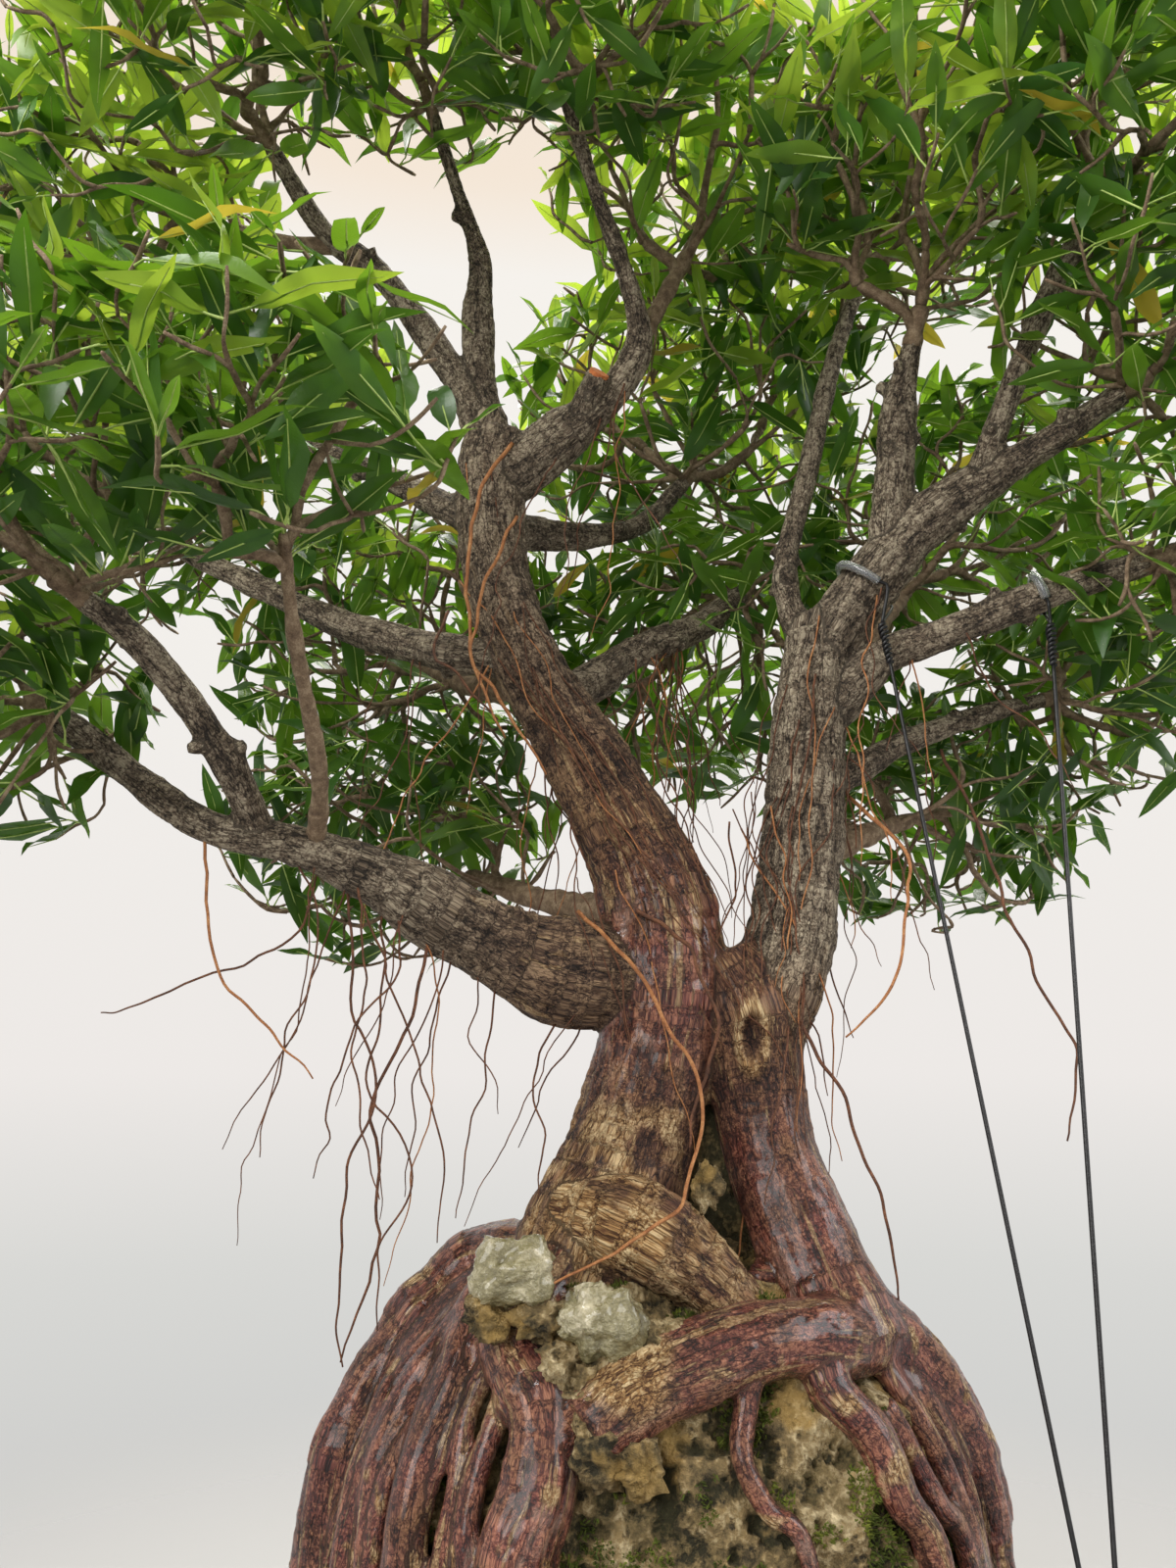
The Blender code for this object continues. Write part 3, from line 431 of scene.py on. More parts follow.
def makeLeafLook(name, colour, glow, share):  # light comes through the blade
    material, tree, shader = newMaterial(name, {"Roughness": 0.36, "Specular IOR Level": 0.4})
    place = addNode(tree, "ShaderNodeTexCoord").outputs["Object"]
    cloud = useGroup(tree, flecks, Vector=place, Stretch=(1, 1, 1), Scale=60.0, Detail=2.0, Low=0.3, High=0.7)
    deeper = tuple(part * 0.62 for part in colour[:3]) + (1.0,)
    tree.links.new(mixColours(tree, cloud.outputs["Mask"], deeper, colour), shader.inputs["Base Color"])
    through = addNode(tree, "ShaderNodeBsdfTranslucent", {"Color": glow})
    blend = addNode(tree, "ShaderNodeMixShader", {"Fac": share})
    tree.links.new(shader.outputs[0], blend.inputs[1])
    tree.links.new(through.outputs[0], blend.inputs[2])
    tree.links.new(blend.outputs[0], tree.nodes["Material Output"].inputs["Surface"])
    vein = useGroup(tree, flecks, Vector=place, Stretch=(1, 1, 1), Scale=900.0, Detail=2.0, Low=0.3, High=0.7)
    addBump(tree, shader, vein.outputs["Mask"], 0.12, 0.0004)
    return material


# damp is the dark green of the pits: partly the rock's damp colour, partly painted shade
rockTones = {"dark": rgb(48, 42, 26), "middle": rgb(152, 130, 88), "light": rgb(228, 210, 168),
             "yellow": rgb(206, 168, 92), "damp": rgb(70, 70, 36)}


def makeRockLook():  # ochre and pale on its lumps, darker and dark green in its pits and pores: partly damp green, partly painted shade
    material, tree, shader = newMaterial("ochreRock", {"Roughness": 0.88})
    place = addNode(tree, "ShaderNodeTexCoord").outputs["Object"]
    hollow = readAttribute(tree, "hollow", "Fac")
    cloud = useGroup(tree, flecks, Vector=place, Stretch=(1, 1, 1), Scale=42.0, Detail=9.0, Low=0.36,
                     High=0.64)
    grit = useGroup(tree, flecks, Vector=place, Stretch=(1, 1, 1), Scale=420.0, Detail=6.0, Low=0.32,
                    High=0.68)
    pores = useGroup(tree, flecks, Vector=place, Stretch=(1, 1, 1), Scale=170.0, Detail=5.0, Low=0.55,
                     High=0.66)
    warm = useGroup(tree, flecks, Vector=place, Stretch=(1, 1, 1), Scale=26.0, Detail=7.0, Low=0.54,
                    High=0.62)
    level = reckon(tree, "ADD", reckon(tree, "MULTIPLY", cloud.outputs["Mask"], 0.56),
                   reckon(tree, "MULTIPLY", grit.outputs["Mask"], 0.42))
    # painted shade: the tone drops in the pits, low hollows and pores
    for mask, share in ((hollow, 0.5), (pores.outputs["Mask"], 0.4)):
        level = reckon(tree, "SUBTRACT", level, reckon(tree, "MULTIPLY", mask, share))
    colour = useGroup(tree, tones, Factor=level, Dark=rockTones["dark"], Middle=rockTones["middle"],
                      Light=rockTones["light"]).outputs["Color"]
    outsideHollows = reckon(tree, "SUBTRACT", 1.0, hollow)
    colour = mixColours(tree, reckon(tree, "MULTIPLY", warm.outputs["Mask"],
                                     reckon(tree, "MULTIPLY", outsideHollows, 0.5)),
                        colour, rockTones["yellow"])
    # the damp colour in the hollows is partly the rock's damp green and partly painted shade
    colour = mixColours(tree, reckon(tree, "MULTIPLY", hollow, 0.4), colour, rockTones["damp"])
    tree.links.new(colour, shader.inputs["Base Color"])
    height = reckon(tree, "SUBTRACT", grit.outputs["Mask"],
                    reckon(tree, "MULTIPLY", pores.outputs["Mask"], 1.5))
    addBump(tree, shader, height, 0.8, 0.0016)
    return material


bark = makeBark()
twigBark = makePlain("twigBark", rgb(84, 66, 50), rgb(132, 110, 86), rgb(172, 152, 124), 260.0, 0.85, 0.0006)
clayLook = makePlain("trayClay", rgb(84, 48, 36), rgb(112, 66, 48), rgb(136, 86, 64), 38.0, 0.78, 0.0004)
soilLook = makePlain("darkSoil", rgb(30, 22, 16), rgb(58, 44, 32), rgb(96, 76, 54), 90.0, 0.95, 0.002)
grainLook = makePlain("soilGrains", rgb(70, 50, 34), rgb(120, 92, 62), rgb(160, 132, 98), 60.0, 0.92, 0.001)
rockLook = makeRockLook()
mossLook = makePlain("mossTufts", rgb(44, 54, 16), rgb(84, 96, 28), rgb(130, 136, 48), 55.0, 0.9, 0.0005)
glassyStone = makePlain("glassyStone", rgb(92, 84, 54), rgb(150, 142, 104), rgb(226, 216, 186), 60.0, 0.22,
                        0.0026, 8.0, values={"Coat Weight": 1.0, "Coat Roughness": 0.06})
rootHair = makePlain("airRootBrown", rgb(62, 38, 26), rgb(98, 60, 38), rgb(136, 88, 58), 220.0, 0.7, 0.0004)
rootOrange = makePlain("airRootOrange", rgb(128, 80, 46), rgb(170, 110, 64), rgb(204, 150, 98), 220.0, 0.65,
                       0.0004)
sawnWood = makePlain("sawnWood", rgb(170, 90, 44), rgb(206, 120, 62), rgb(230, 160, 100), 240.0, 0.7, 0.0003)
wireLook = makePlain("blackWire", rgb(10, 10, 12), rgb(20, 20, 22), rgb(34, 34, 36), 300.0, 0.38, 0.0001)
# painted light: the deep, mid and bright greens are shaded, half-lit and lit copies of one leaf; only the
# yellow leaves have a colour of their own
leafLooks = {
    "shadedLeaves": makeLeafLook("leafShaded", rgb(50, 88, 34), rgb(102, 152, 32), 0.3),
    "halfLitLeaves": makeLeafLook("leafHalfLit", rgb(72, 116, 40), rgb(136, 182, 42), 0.35),
    "litLeaves": makeLeafLook("leafLit", rgb(112, 154, 54), rgb(188, 216, 66), 0.42),
    "yellowLeaves": makeLeafLook("leafYellow", rgb(184, 162, 54), rgb(220, 200, 70), 0.38)}
ribLook = makePlain("leafRibs", rgb(132, 160, 72), rgb(168, 194, 98), rgb(200, 216, 132), 120.0, 0.5, 0.0002)
print("materials made")


def makeSleeveLook():
    material, tree, shader = newMaterial("clearSleeve",
                                         {"Base Color": (0.93, 0.95, 0.96, 1), "Roughness": 0.12,
                                          "Transmission Weight": 0.9, "IOR": 1.42})
    place = addNode(tree, "ShaderNodeTexCoord").outputs["Object"]
    haze = useGroup(tree, flecks, Vector=place, Stretch=(1, 1, 1), Scale=500.0, Detail=2.0, Low=0.3, High=0.7)
    addBump(tree, shader, haze.outputs["Mask"], 0.15, 0.0002)
    return material


sleeveLook = makeSleeveLook()

# limbs: routes as (x, y, z, radius) in millimetres, the same as the solids follow
stems = {
    "main": [(-43, -22, 196, 28), (-28, -8, 229, 30), (-11, 0, 274, 25), (-3, 0, 306, 24), (0, 0, 340, 26),
             (-6, 2, 372, 24), (-27, 4, 415, 18.5), (-56, 7, 466, 16.4), (-74, 7, 514, 15.4),
             (-78, 7, 558, 16),
             (-75, 5, 585, 15)],
    "rightLeg": [(64, -30, 192, 23), (54, -18, 222, 20), (42, -6, 256, 19), (37, 0, 286, 20),
                 (33, 1, 318, 22),
                 (22, 1, 340, 17)],
    "knee": [(-34, -22, 240, 15), (-14, -34, 236, 18), (8, -36, 222, 15), (26, -36, 204, 11)],
    "rightStem": [(38, 2, 306, 20), (51, 4, 338, 19.6), (58, 7, 372, 18.6), (64, 7, 416, 17.3),
                  (69, 6, 457, 16),
                  (73, 4, 484, 14)],
}
boughs = {
    "leftLow": [(-16, 0, 330, 22), (-50, -8, 335, 19.8), (-83, -22, 350, 16.4), (-113, -36, 367, 12),
                (-146, -48, 378, 8.7), (-182, -56, 386, 7.1), (-237, -64, 426, 5.1)],
    "leftRiser": [(-158, -50, 381, 7), (-167, -76, 407, 6.4), (-187, -104, 436, 5.2), (-203, -124, 448, 4.4)],
    "leftMid": [(-68, 8, 474, 9), (-90, 12, 478, 8.6), (-131, 34, 495, 8), (-178, 50, 519, 6.6),
                (-264, 72, 569, 4.6)],
    "leftHigh": [(-78, 7, 542, 9), (-96, 14, 551, 7.8), (-127, 34, 577, 7), (-164, 54, 603, 5.6),
                 (-203, 72, 623, 4.2)],
    "topLeft": [(-77, 6, 574, 9.5), (-90, 2, 604, 7.6), (-105, 0, 630, 6.6), (-132, -12, 662, 6),
                (-155, -26, 673, 4.8), (-175, -52, 697, 3.6)],
    "topCentre": [(-76, 6, 576, 9.5), (-83, 3, 610, 8.4), (-85, -2, 646, 6.8), (-84, -8, 672, 5.4),
                  (-93, -24, 695, 4), (-104, -46, 722, 3.2)],
    "topRight": [(-73, 6, 561, 13), (-41, 0, 585, 11.3), (-19, -8, 602, 8), (-8, -13, 624, 6.2),
                 (-14, -26, 648, 4.8), (-31, -48, 684, 3.9), (-42, -68, 710, 3.2)],
    "back": [(-76, 8, 538, 9), (-55, 30, 547, 7.4), (-32, 48, 555, 6.7), (-4, 70, 572, 5.7),
             (20, 88, 606, 4.6)],
    "lowBack": [(-52, 8, 458, 11), (-34, 26, 467, 9.4), (-10, 46, 492, 9), (26, 70, 515, 7.4),
                (50, 92, 542, 5.2)],
    "rightHigh": [(72, 4, 474, 14), (96, -4, 508, 12.8), (122, -14, 534, 11), (146, -24, 548, 8.7),
                  (175, -42, 561, 6.3), (193, -56, 570, 5)],
    "rightStub": [(103, -7, 516, 10), (107, -12, 553, 9.3), (109, -20, 586, 7.6), (114, -34, 613, 4.6)],
    "rightRearUp": [(70, 8, 474, 7), (60, 12, 517, 6), (75, 20, 576, 5.2), (92, 26, 642, 4.8),
                    (109, 30, 690, 3.8)],
    "rightFrontUp": [(140, -22, 544, 7), (153, -42, 584, 5.4), (166, -62, 618, 5), (176, -76, 636, 4.2)],
    "rightMid": [(70, 6, 446, 12), (99, 0, 472, 9), (124, -8, 480, 7.8), (170, -22, 495, 6.8),
                 (206, -36, 502, 5.4)],
    "rightLow": [(66, 8, 406, 8), (86, 16, 422, 6.6), (113, 28, 440, 5.9), (156, 44, 459, 4.9),
                 (196, 58, 472, 4)],
}

# rock: upright sides up to its shoulder, then a dome; its plan is an ellipse
rock = {"middleX": -7, "halfX": 116, "halfY": 88, "foot": 55.3, "shoulder": 105, "top": 233, "bump": 1.8,
        "voxel": 1.7, "lump": 4.4, "pit": 3.6, "seed": 21}


def rockPoint(azimuth, height, lift=0.0):  # a point of the plain rock in millimetres, raised off it by lift
    share = min(max((height - rock["shoulder"]) / (rock["top"] - rock["shoulder"]), 0.0), 0.999)
    wide = (1 - share ** 2.2) ** 0.556
    angle = math.radians(azimuth)
    spot = np.array((rock["middleX"] + rock["halfX"] * wide * math.cos(angle),
                     rock["halfY"] * wide * math.sin(angle), height))
    steep = 0.55 * share ** 1.6
    outward = unit((math.cos(angle) / rock["halfX"], math.sin(angle) / rock["halfY"], 0))
    outward = unit(outward * (1 - steep) + np.array((0, 0, steep)))
    return spot + outward * lift


# roots: where each leaves the wood, then (azimuth, height) down the rock, first and last radius
roots = {
    "leftOuter": ((-50, -12, 222), [(172, 213), (178, 196), (183, 168), (186, 138), (187, 48)], (15, 12)),
    "leftSide": ((-52, -18, 216), [(-172, 210), (-168, 188), (-160, 164), (-157, 134), (-156, 48)], (7, 5.5)),
    "leftFront": ((-50, -24, 218), [(-155, 208), (-140, 188), (-139, 162), (-136, 134), (-134, 48)],
                  (8, 6.5)),
    "frontLeft": ((-42, -30, 222), [(-128, 200), (-114, 182), (-112, 162), (-114, 138), (-115, 48)],
                  (12.5, 12)),
    "crossing": ((60, -26, 208), [(-32, 197), (-52, 200), (-72, 199), (-86, 194), (-97, 187), (-104, 178)],
                 (13, 12)),
    "rightOuter": ((60, -24, 212), [(-24, 202), (-14, 191), (-6, 166), (-3, 138), (-2, 48)], (14, 12)),
    "rightFront": ((50, -44, 208), [(-52, 188), (-46, 174), (-45, 156), (-40, 134), (-36, 48)], (8, 5)),
    "rightInner": ((70, -48, 182), [(-36, 168), (-33, 150), (-26, 128), (-22, 48)], (4.5, 3.5)),
    "thin": ((24, -66, 198), [(-74, 182), (-76, 171), (-73, 158), (-67, 142), (-64, 48)], (4, 3)),
    "backLeft": ((-44, -6, 220), [(140, 210), (134, 184), (140, 154), (132, 126), (130, 48)], (12, 9)),
    "backMiddle": ((-30, 0, 226), [(98, 216), (88, 190), (94, 156), (86, 128), (88, 48)], (10, 8)),
    "backRight": ((58, -16, 212), [(28, 204), (38, 182), (34, 152), (42, 126), (40, 48)], (13, 9)),
}
strands = {"radius": (2.6, 6.0), "wander": 4.0, "seed": 5,
           "bands": [(176, 236, 15), (-30, 24, 7), (30, 150, 8)]}  # azimuths from and to, how many


def rootLine(start, spots, radii, lift=0.45):
    route = [(*start, radii[0])]
    for i, (azimuth, height) in enumerate(spots):
        radius = radii[0] + (radii[1] - radii[0]) * i / (len(spots) - 1)
        route.append((*rockPoint(azimuth, height, lift * radius + 1), radius))
    return route


def strandRoutes():  # thin roots that run beside the main ones, from the trunk's foot down to the soil
    rng = np.random.default_rng(strands["seed"])
    routes = {}
    for first, last, count in strands["bands"]:
        for i in range(count):
            azimuth = first + (last - first) * (i + rng.uniform(0.2, 0.8)) / count
            radius = rng.uniform(*strands["radius"])
            angle = math.radians(azimuth)
            start = (rock["middleX"] - 6 + 46 * math.cos(angle), -16 + 24 * math.sin(angle), 220)
            drift = rng.uniform(-1, 1) * strands["wander"] * 2
            spots = [(azimuth + drift * share + rng.normal() * strands["wander"] * 0.5, 210 - 162 * share)
                     for share in (0.0, 0.15, 0.33, 0.55, 0.77, 1.0)]
            routes["strand%d" % len(routes)] = rootLine(start, spots, (radius, 0.75 * radius), 0.8)
    return routes


wood = {"voxel": 1.45, "step": 3.5, "sides": 20, "relax": 5, "seed": 3, "cut": 312.0, "knob": 0.10}


nubs = {"perBough": (2, 5), "radius": (1.8, 3.2), "reach": (1.5, 4.5), "seed": 57,
        "sawn": [(-40, 0, 584, 6.6), (-34, -9, 593, 6.0), (-27, -19, 603, 5.4)], "cutFace": 4.7}


def limbLine(route, rng, knobs):  # a fine line with slight swellings, in metres
    knots = np.array(route, float)
    length = np.linalg.norm(np.diff(knots[:, :3], axis=0), axis=1).mean()
    line = smoothRoute(route, max(2, round(length / wood["step"])))
    run = np.concatenate([[0], np.cumsum(np.linalg.norm(np.diff(line[:, :3], axis=0), axis=1))])
    phase = rng.uniform(0, 100)
    swell = latticeNoise(np.stack([run / 13 + phase, run * 0, run * 0], axis=1), 7)
    line[:, 3] *= 1 + knobs * swell
    return line * mm


def planWood():
    rng = np.random.default_rng(wood["seed"])
    lines = {}
    for name, route in stems.items():
        lines[name] = limbLine(route, rng, 0.03)
    for name, route in boughs.items():
        lines[name] = limbLine(route, rng, wood["knob"])
    for name, (start, spots, radii) in roots.items():
        lines[name] = limbLine(rootLine(start, spots, radii), rng, 0.08)
    for name, route in strandRoutes().items():
        lines[name] = limbLine(route, rng, 0.12)
    lines["nubSawn"] = limbLine(nubs["sawn"], rng, 0.03)
    rng = np.random.default_rng(nubs["seed"])
    for name in boughs:  # short blunt ends where small branches were pruned
        line = lines[name]
        along, across, other = limbFrames(line)
        for count in range(rng.integers(*nubs["perBough"])):
            at = int(rng.uniform(0.12, 0.85) * (len(line) - 1))
            angle = rng.uniform(0, 2 * math.pi)
            out = across[at] * math.cos(angle) + other[at] * math.sin(angle) + along[at] * 0.5
            thick = min(rng.uniform(*nubs["radius"]) * mm, 0.6 * line[at, 3])
            tip = line[at, :3] + out * (line[at, 3] + rng.uniform(*nubs["reach"]) * mm)
            lines[f"nub{name}{count}"] = np.vstack([np.append(line[at, :3], thick * 1.3),
                                                    np.append(tip, thick)])
    return lines


def stretchRows(lines, stride):  # every stretch of every limb: ends, frames, run and limb number
    rows = []
    for number, line in enumerate(lines.values()):
        _, across, other = limbFrames(line)
        run = np.concatenate([[0], np.cumsum(np.linalg.norm(np.diff(line[:, :3], axis=0), axis=1))])
        keep = np.unique(np.append(np.arange(0, len(line), stride), len(line) - 1))
        first, second = keep[:-1], keep[1:]
        rows.append(np.hstack([line[first], line[second], across[first], other[first], across[second],
                               other[second],
                               run[first, None], run[second, None], np.full((len(first), 1), number)]))
    return np.vstack(rows)


# the nearest stretch's row and share, and how far the next limb is
def nearestWood(points, rows):
    best = np.empty(len(points), int)
    share = np.empty(len(points))
    margin = np.empty(len(points))
    limbs = rows[:, 22].astype(int)
    starts = np.flatnonzero(np.diff(limbs, prepend=-1))
    way = rows[:, 4:7] - rows[:, :3]
    size = (way ** 2).sum(-1)
    for low in range(0, len(points), 6000):
        spots = points[low:low + 6000, None]
        part = np.clip(((spots - rows[:, :3]) * way).sum(-1) / size, 0, 1)
        gap = np.linalg.norm(spots - rows[:, :3] - way * part[..., None], axis=-1)
        gap -= rows[:, 3] + (rows[:, 7] - rows[:, 3]) * part
        pick = gap.argmin(axis=1)
        here = np.arange(len(pick))
        best[low:low + 6000] = pick
        share[low:low + 6000] = part[here, pick]
        perLimb = np.minimum.reduceat(gap, starts, axis=1)
        perLimb.sort(axis=1)
        margin[low:low + 6000] = perLimb[:, 1] - perLimb[:, 0]
    return best, share, margin


scar = {"place": (33, -24, 306), "halfWidth": 5.0, "halfHeight": 11.0, "lip": 1.8, "depth": 3.0}
tanSpots = [((-40, -48, 246), 26), ((-20, -58, 236), 22), ((-58, -44, 228), 20), ((-18, -80, 198), 20),
            ((2, -40, 226), 14)]


def ovalDistance(points, spot):
    offset = (points / mm - spot["place"]) / (spot["halfWidth"], 14.0, spot["halfHeight"])
    return np.linalg.norm(offset, axis=1)


def makeWood():
    lines = planWood()
    mesh = gridMesh("wood", [tubeParts(line, wood["sides"]) for line in lines.values()], wood["voxel"] * mm)
    points = relaxed(mesh, wood["relax"])
    mesh.vertices.foreach_set("co", points.ravel())
    mesh.update()
    rows = stretchRows(lines, 3)
    best, share, margin = nearestWood(points, rows)
    row = rows[best]
    blend = share[:, None]
    middle = row[:, :3] + (row[:, 4:7] - row[:, :3]) * blend
    radius = row[:, 3] + (row[:, 7] - row[:, 3]) * share
    offset = points - middle
    run = row[:, 20] + (row[:, 21] - row[:, 20]) * share
    across = row[:, 8:11] + (row[:, 14:17] - row[:, 8:11]) * blend
    other = row[:, 11:14] + (row[:, 17:20] - row[:, 11:14]) * blend
    limb = row[:, 22].astype(int)
    space = np.stack([run + limb * 0.37, (offset * across).sum(-1), (offset * other).sum(-1)], axis=1)
    names = list(lines)
    group = np.array([0 if n in ("main", "knee") else 1 if n == "rightStem" else 2 if n == "rightLeg" else
                      3 if n in boughs or n.startswith("nub") else 4 for n in names])[limb]
    z = points[:, 2] / mm
    x = points[:, 0] / mm
    red = np.select([group == 0, group == 1, group == 2, group == 3],
                    [0.15 + 0.85 * easeStep(550, 380, z), 0.75 * easeStep(350, 305, z), np.ones(len(z)),
                     0.75 * easeStep(-105, -45, x) * (z < 372)], 1.0)
    tan = np.zeros(len(z))
    for place, reach in tanSpots:
        far = np.linalg.norm(points / mm - place, axis=1) + 6 * layeredNoise(points / mm / 14, 31, 2)
        tan = np.maximum(tan, easeStep(reach, reach * 0.45, far))
    edge = layeredNoise(points / mm / 11, 33, 3)
    tan = np.maximum(tan, 0.8 * easeStep(0.55, 0.8, edge) * (group == 4))
    tan = np.maximum(tan, 0.7 * easeStep(310, 268, z) * easeStep(-0.3, 0.4, edge) * (group == 0))
    middle0 = 0.8 * easeStep(400, 335, z) * (0.2 + 0.8 * easeStep(268, 305, z))
    wet = np.select([group == 4, group == 2, group == 0],
                    [0.9, 0.15 + 0.65 * easeStep(292, 255, z), middle0], 0.0)
    wet = np.clip(wet * (0.75 + 0.5 * edge), 0, 1) * (1 - 0.8 * tan)

    def sample(lengthwise, sideways, seed, layers=2):
        scaled = np.hstack([space[:, :1] / (lengthwise * mm), space[:, 1:] / (sideways * mm)])
        return layeredNoise(scaled, seed, layers)

    slim = np.clip(radius / (14 * mm), 0.25, 1)
    grooves = sample(46, 13, 11)
    fissures = np.exp(-(sample(24, 4.6, 12) / 0.16) ** 2)
    wrinkles = sample(3.2, 14, 13)
    flakes = easeStep(0.05, 0.3, sample(17, 6.5, 14))
    coarse = np.where(group == 2, 0.45, np.where(group == 4, 0.55, 1.0)) * (1 + 0.5 * tan)
    lift = slim * (1.5 * grooves + coarse * (0.7 * flakes - 0.8 * fissures + 0.45 * wrinkles))
    oval = ovalDistance(points, scar)
    inScar = easeStep(1.0, 0.55, oval)
    lips = np.exp(-((oval - 1.15) / 0.28) ** 2)
    lift = lift * (1 - np.maximum(inScar, lips)) + lips * scar["lip"] - inScar * scar["depth"]
    lift *= np.clip(margin / (4 * mm), 0.12, 1)
    tan = np.clip(np.maximum(tan, lips * 0.9), 0, 1)
    # painted light and shade in part: relief is high on raised flakes and ridges and low in the fissures and
    # the scar's hollow, from the same terms that lift the skin
    relief = np.clip(0.5 + 0.25 * grooves + 0.3 * flakes - 0.55 * fissures + 0.2 * wrinkles, 0, 1)
    relief = relief * (1 - 0.9 * inScar)
    points = points + meshNormals(mesh) * (lift * mm)[:, None]
    mesh.vertices.foreach_set("co", points.ravel())
    mesh.update()
    normals = meshNormals(mesh)
    values = {"limbSpace": space, "relief": relief, "red": red, "tan": tan, "wet": wet}
    faces = np.empty(len(mesh.polygons) * 4, int)
    if len(mesh.loops) != len(faces):
        raise RuntimeError("the wood's skin has faces that aren't quads")
    mesh.polygons.foreach_get("vertices", faces)
    faces = faces.reshape(-1, 4)
    low = points[faces].mean(axis=1)[:, 2] < wood["cut"] * mm
    pieces = []
    for name, own in (("lowerWood", low), ("upperWood", ~low)):
        used, index = np.unique(faces[own], return_inverse=True)
        piece = pieceFrom(name, [(points[used], index.reshape(-1, 4), np.empty((0, 3), int))], bark)
        for label, value in values.items():
            addAttribute(piece.data, label, value[used])
        piece.data.normals_split_custom_set_from_vertices(normals[used].tolist())
        pieces.append(piece)
        print(name, len(piece.data.polygons) * 2, "triangles")
    rootNodes = [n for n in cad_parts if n.startswith("root_")]
    boughNodes = [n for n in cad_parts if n.startswith("bough_")]
    settle(pieces[0], "red_bark", "trunk", *rootNodes)
    settle(pieces[1], "grey_bark", "right_stem", *boughNodes)
    end, way = lines["nubSawn"][-1], unit(lines["nubSawn"][-1, :3] - lines["nubSawn"][-2, :3])
    face = [np.append(end[:3] + way * share * mm, nubs["cutFace"] * mm) for share in (-2.0, 0.2, 0.9)]
    settle(pieceFrom("sawnFace", [tubeParts(np.array(face), 24)], sawnWood, smooth=False), "grey_bark")
    return lines


woodLines = makeWood()
limbEnds = np.vstack([np.hstack([line[:-2:2], line[2::2]]) for line in woodLines.values()])
print("wood grown")

# rock, moss and the two glassy stones


def domeParts(rows, columns):  # the upper half of a ball drawn onto the dome, closed underneath
    heights = rock["foot"] + (rock["top"] - rock["foot"]) * np.linspace(0, 1, rows) ** 0.8
    points = []
    for height in heights[:-1]:
        for azimuth in np.arange(columns) * 360 / columns:
            points.append(rockPoint(azimuth, height))
    points.append((rock["middleX"], 0, rock["top"]))
    points.append((rock["middleX"], 0, rock["foot"]))
    here = np.arange(columns)
    after = (here + 1) % columns
    base = (np.arange(rows - 2) * columns)[:, None]
    quads = np.stack([base + here, base + after, base + columns + after, base + columns + here], axis=-1)
    top = (rows - 2) * columns
    head = np.stack([top + here, top + after, np.full(columns, len(points) - 2)], axis=-1)
    foot = np.stack([after, here, np.full(columns, len(points) - 1)], axis=-1)
    return np.array(points) * mm, quads.reshape(-1, 4), np.vstack([head, foot])


def rockRelief(points):  # soft sine lumps as in the solid, then rough lumps and pits
    x, y, z = (points / mm).T
    swell = rock["bump"] * (np.sin(x * 0.11 + 1.3 * np.sin(y * 0.07)) + 0.7 * np.sin(y * 0.15 + z * 0.12)
                            + 0.5 * np.sin(z * 0.2 - x * 0.09))
    lumps = layeredNoise(points / mm / 15, rock["seed"], 4)
    pits = easeStep(0.2, 0.5, layeredNoise(points / mm / 7, rock["seed"] + 9, 4))
    # the pits and low places get a mask that darkens and greens the rock's colour there: painted shade,
    # partly damp green
    hollow = np.clip(0.95 * pits + 0.6 * easeStep(-0.1, -0.6, lumps), 0, 1)
    return swell + rock["lump"] * lumps - rock["pit"] * pits, hollow


def makeRock():
    mesh = gridMesh("rock", [domeParts(34, 72)], rock["voxel"] * mm)
    points = relaxed(mesh, 4)
    mesh.vertices.foreach_set("co", points.ravel())
    mesh.update()
    base = easeStep(rock["foot"] * mm, (rock["foot"] + 4) * mm, points[:, 2])
    relief, hollow = rockRelief(points)
    points += meshNormals(mesh) * (relief * base * mm)[:, None]
    points[:, 2] = np.maximum(points[:, 2], rock["foot"] * mm)
    mesh.vertices.foreach_set("co", points.ravel())
    mesh.update()
    mesh.shade_smooth()
    mesh.materials.append(rockLook)
    addAttribute(mesh, "hollow", hollow)
    piece = bpy.data.objects.new("rockBody", mesh)
    bpy.context.scene.collection.objects.link(piece)
    settle(piece, "stone", "rock")
    return points, meshNormals(mesh)


moss = {"tufts": 32000, "height": (0.8, 2.4), "width": 0.5, "patch": 22, "level": 0.12, "seed": 77}


def tuftParts(rng, feet, ways, height, width):  # three-sided blades that stand on their feet, a little askew
    count = len(feet)
    ways = unit(ways + rng.normal(size=(count, 3)) * 0.35)
    side = unit(np.cross(ways, rng.normal(size=(count, 3))))
    other = np.cross(ways, side)
    turn = np.arange(3) * 2 * math.pi / 3
    ring = side[:, None] * np.cos(turn)[:, None] + other[:, None] * np.sin(turn)[:, None]
    foot = feet[:, None] + ring * np.reshape(width, (-1, 1, 1)) * mm - ways[:, None] * 0.6 * mm
    tip = feet + ways * np.reshape(height, (-1, 1)) * mm
    points = np.concatenate([foot, tip[:, None]], axis=1).reshape(-1, 3)
    index = (np.arange(count) * 4)[:, None]
    triangles = np.concatenate([np.stack([index[:, 0] + i, index[:, 0] + (i + 1) % 3, index[:, 0] + 3],
                                         axis=-1)
                                for i in range(3)])
    return points, np.empty((0, 4), int), triangles


